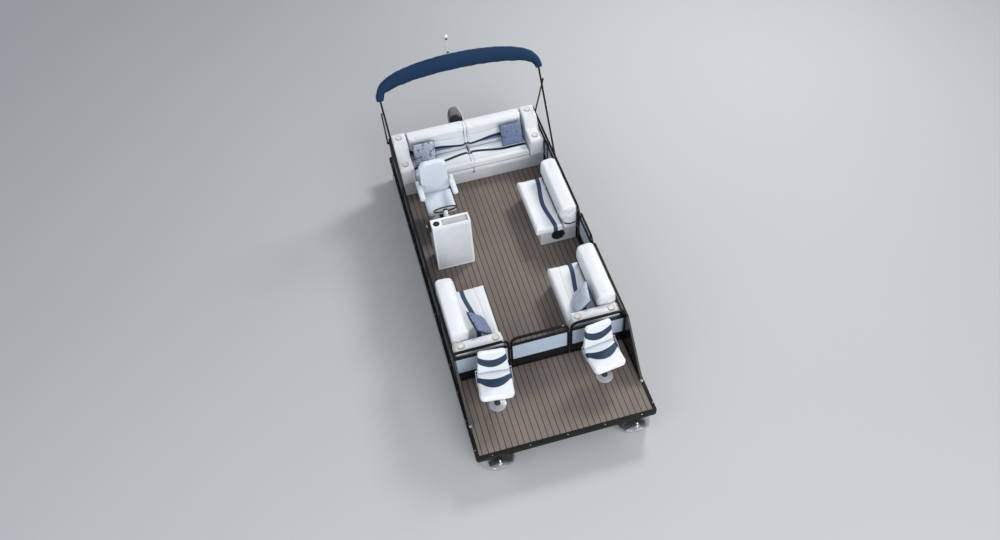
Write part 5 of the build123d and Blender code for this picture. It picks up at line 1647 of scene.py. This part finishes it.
def base_doors():
    """The bench base's padded brow, its door with a latch, and the couch bases' doors."""
    front = -2.155
    made = Shape()
    for low, high in ((-0.980, -0.004), (0.004, 0.980)):
        made.slab((-2.150, low, DECK + 0.232), (-2.1225, high, DECK + 0.3050), 0.012, "vinyl", None, 4)
    made.slab((front - 0.0005, -0.470, DECK + 0.030), (front + 0.0025, 0.470, DECK + 0.225), 0.0012, "base",
              None, 2)
    made.slab((front + 0.0020, -0.018, DECK + 0.188), (front + 0.0080, 0.018, DECK + 0.216), 0.0025, "black")
    made.knob((front + 0.006, 0.0, DECK + 0.202), (front + 0.011, 0.0, DECK + 0.202), 0.007)
    for y in (-0.550, 0.550):
        for x in (0.70, 1.28):
            made.slab((x - 0.24, y - 0.0022, DECK + 0.040), (x + 0.24, y + 0.0022, DECK + 0.258), 0.0010,
                      "base", None, 2)
    made.piece("base_doors", "hull", "base_white")


def gate_latches():
    """A latch with a turned knob on each gate."""
    low, middle, high = DECK + 0.560, DECK + 0.580, DECK + 0.600
    bow = Shape()
    bow.slab((1.676, 0.395, low), (1.690, 0.425, high), 0.004, "black")
    bow.knob((1.688, 0.410, middle), (1.702, 0.410, middle), 0.008)
    bow.piece("bow_gate_latch", "bow_gate", "bolt_bright")
    side = Shape()
    side.slab((-0.335, 1.2655, low), (-0.305, 1.277, high), 0.004, "black")
    side.knob((-0.320, 1.276, middle), (-0.320, 1.288, middle), 0.007)
    side.piece("side_gate_latch", "side_gate", "bolt_bright")


base_doors()
gate_latches()


# Camera, floor and light

def camera():
    """The photograph's pinhole view, fitted to the deck and the seats."""
    data = bpy.data.cameras.new("camera")
    data.lens = 33.68
    data.sensor_width = 36.0
    data.sensor_fit = "HORIZONTAL"
    data.clip_end = 200.0
    obj = bpy.data.objects.new("camera", data)
    right = Vector((0.266738, 0.962517, -0.049118))
    down = Vector((0.742487, -0.237720, -0.626260))
    ahead = Vector((-0.614462, 0.130578, -0.778065))
    obj.matrix_world = framed(right, -down, -ahead, (8.8613, -2.0252, 11.8622))
    bpy.context.scene.collection.objects.link(obj)
    bpy.context.scene.camera = obj


def lamp(name, place, size, power, colour=(1.0, 1.0, 1.0)):
    """A round lamp that looks at the middle of the boat."""
    data = bpy.data.lights.new(name, "AREA")
    data.shape = "DISK"
    data.size = size
    data.energy = power
    data.color = colour
    obj = bpy.data.objects.new(name, data)
    obj.location = place
    obj.rotation_euler = (Vector((0.0, 0.0, 0.5)) - Vector(place)).to_track_quat("-Z", "Y").to_euler()
    bpy.context.scene.collection.objects.link(obj)


def studio():
    """Pale floor at the waterline, a broad key from port astern, and soft fills."""
    far = 60
    mesh = bpy.data.meshes.new("floor")
    mesh.from_pydata([(-far, -far, 0), (far, -far, 0), (far, far, 0), (-far, far, 0)], [], [(0, 1, 2, 3)])
    floor = bpy.data.objects.new("floor", mesh)
    bpy.context.scene.collection.objects.link(floor)
    net = Net("floor", (0.49, 0.50, 0.51), 0.75)
    net.set(Base_Color=net.mix(net.noise(0.15), (0.47, 0.48, 0.49), (0.51, 0.52, 0.53)))
    mesh.materials.append(net.material)
    lamp("key", (-6.0, 8.0, 10.5), 3.6, 1000.0, (1.0, 0.97, 0.94))
    lamp("fill", (7.0, -9.0, 9.0), 8.0, 330.0, (0.94, 0.97, 1.0))
    lamp("bow", (16.0, 3.0, 10.0), 12.0, 2000.0)
    world = bpy.data.worlds.new("studio")
    world.use_nodes = True
    world.node_tree.nodes["Background"].inputs["Color"].default_value = (0.86, 0.92, 1.0, 1.0)
    world.node_tree.nodes["Background"].inputs["Strength"].default_value = 0.48
    bpy.context.scene.world = world
    bpy.context.scene.view_settings.view_transform = "Standard"
    bpy.context.scene.view_settings.look = "None"
    bpy.context.scene.view_settings.exposure = 0.0


camera()
studio()
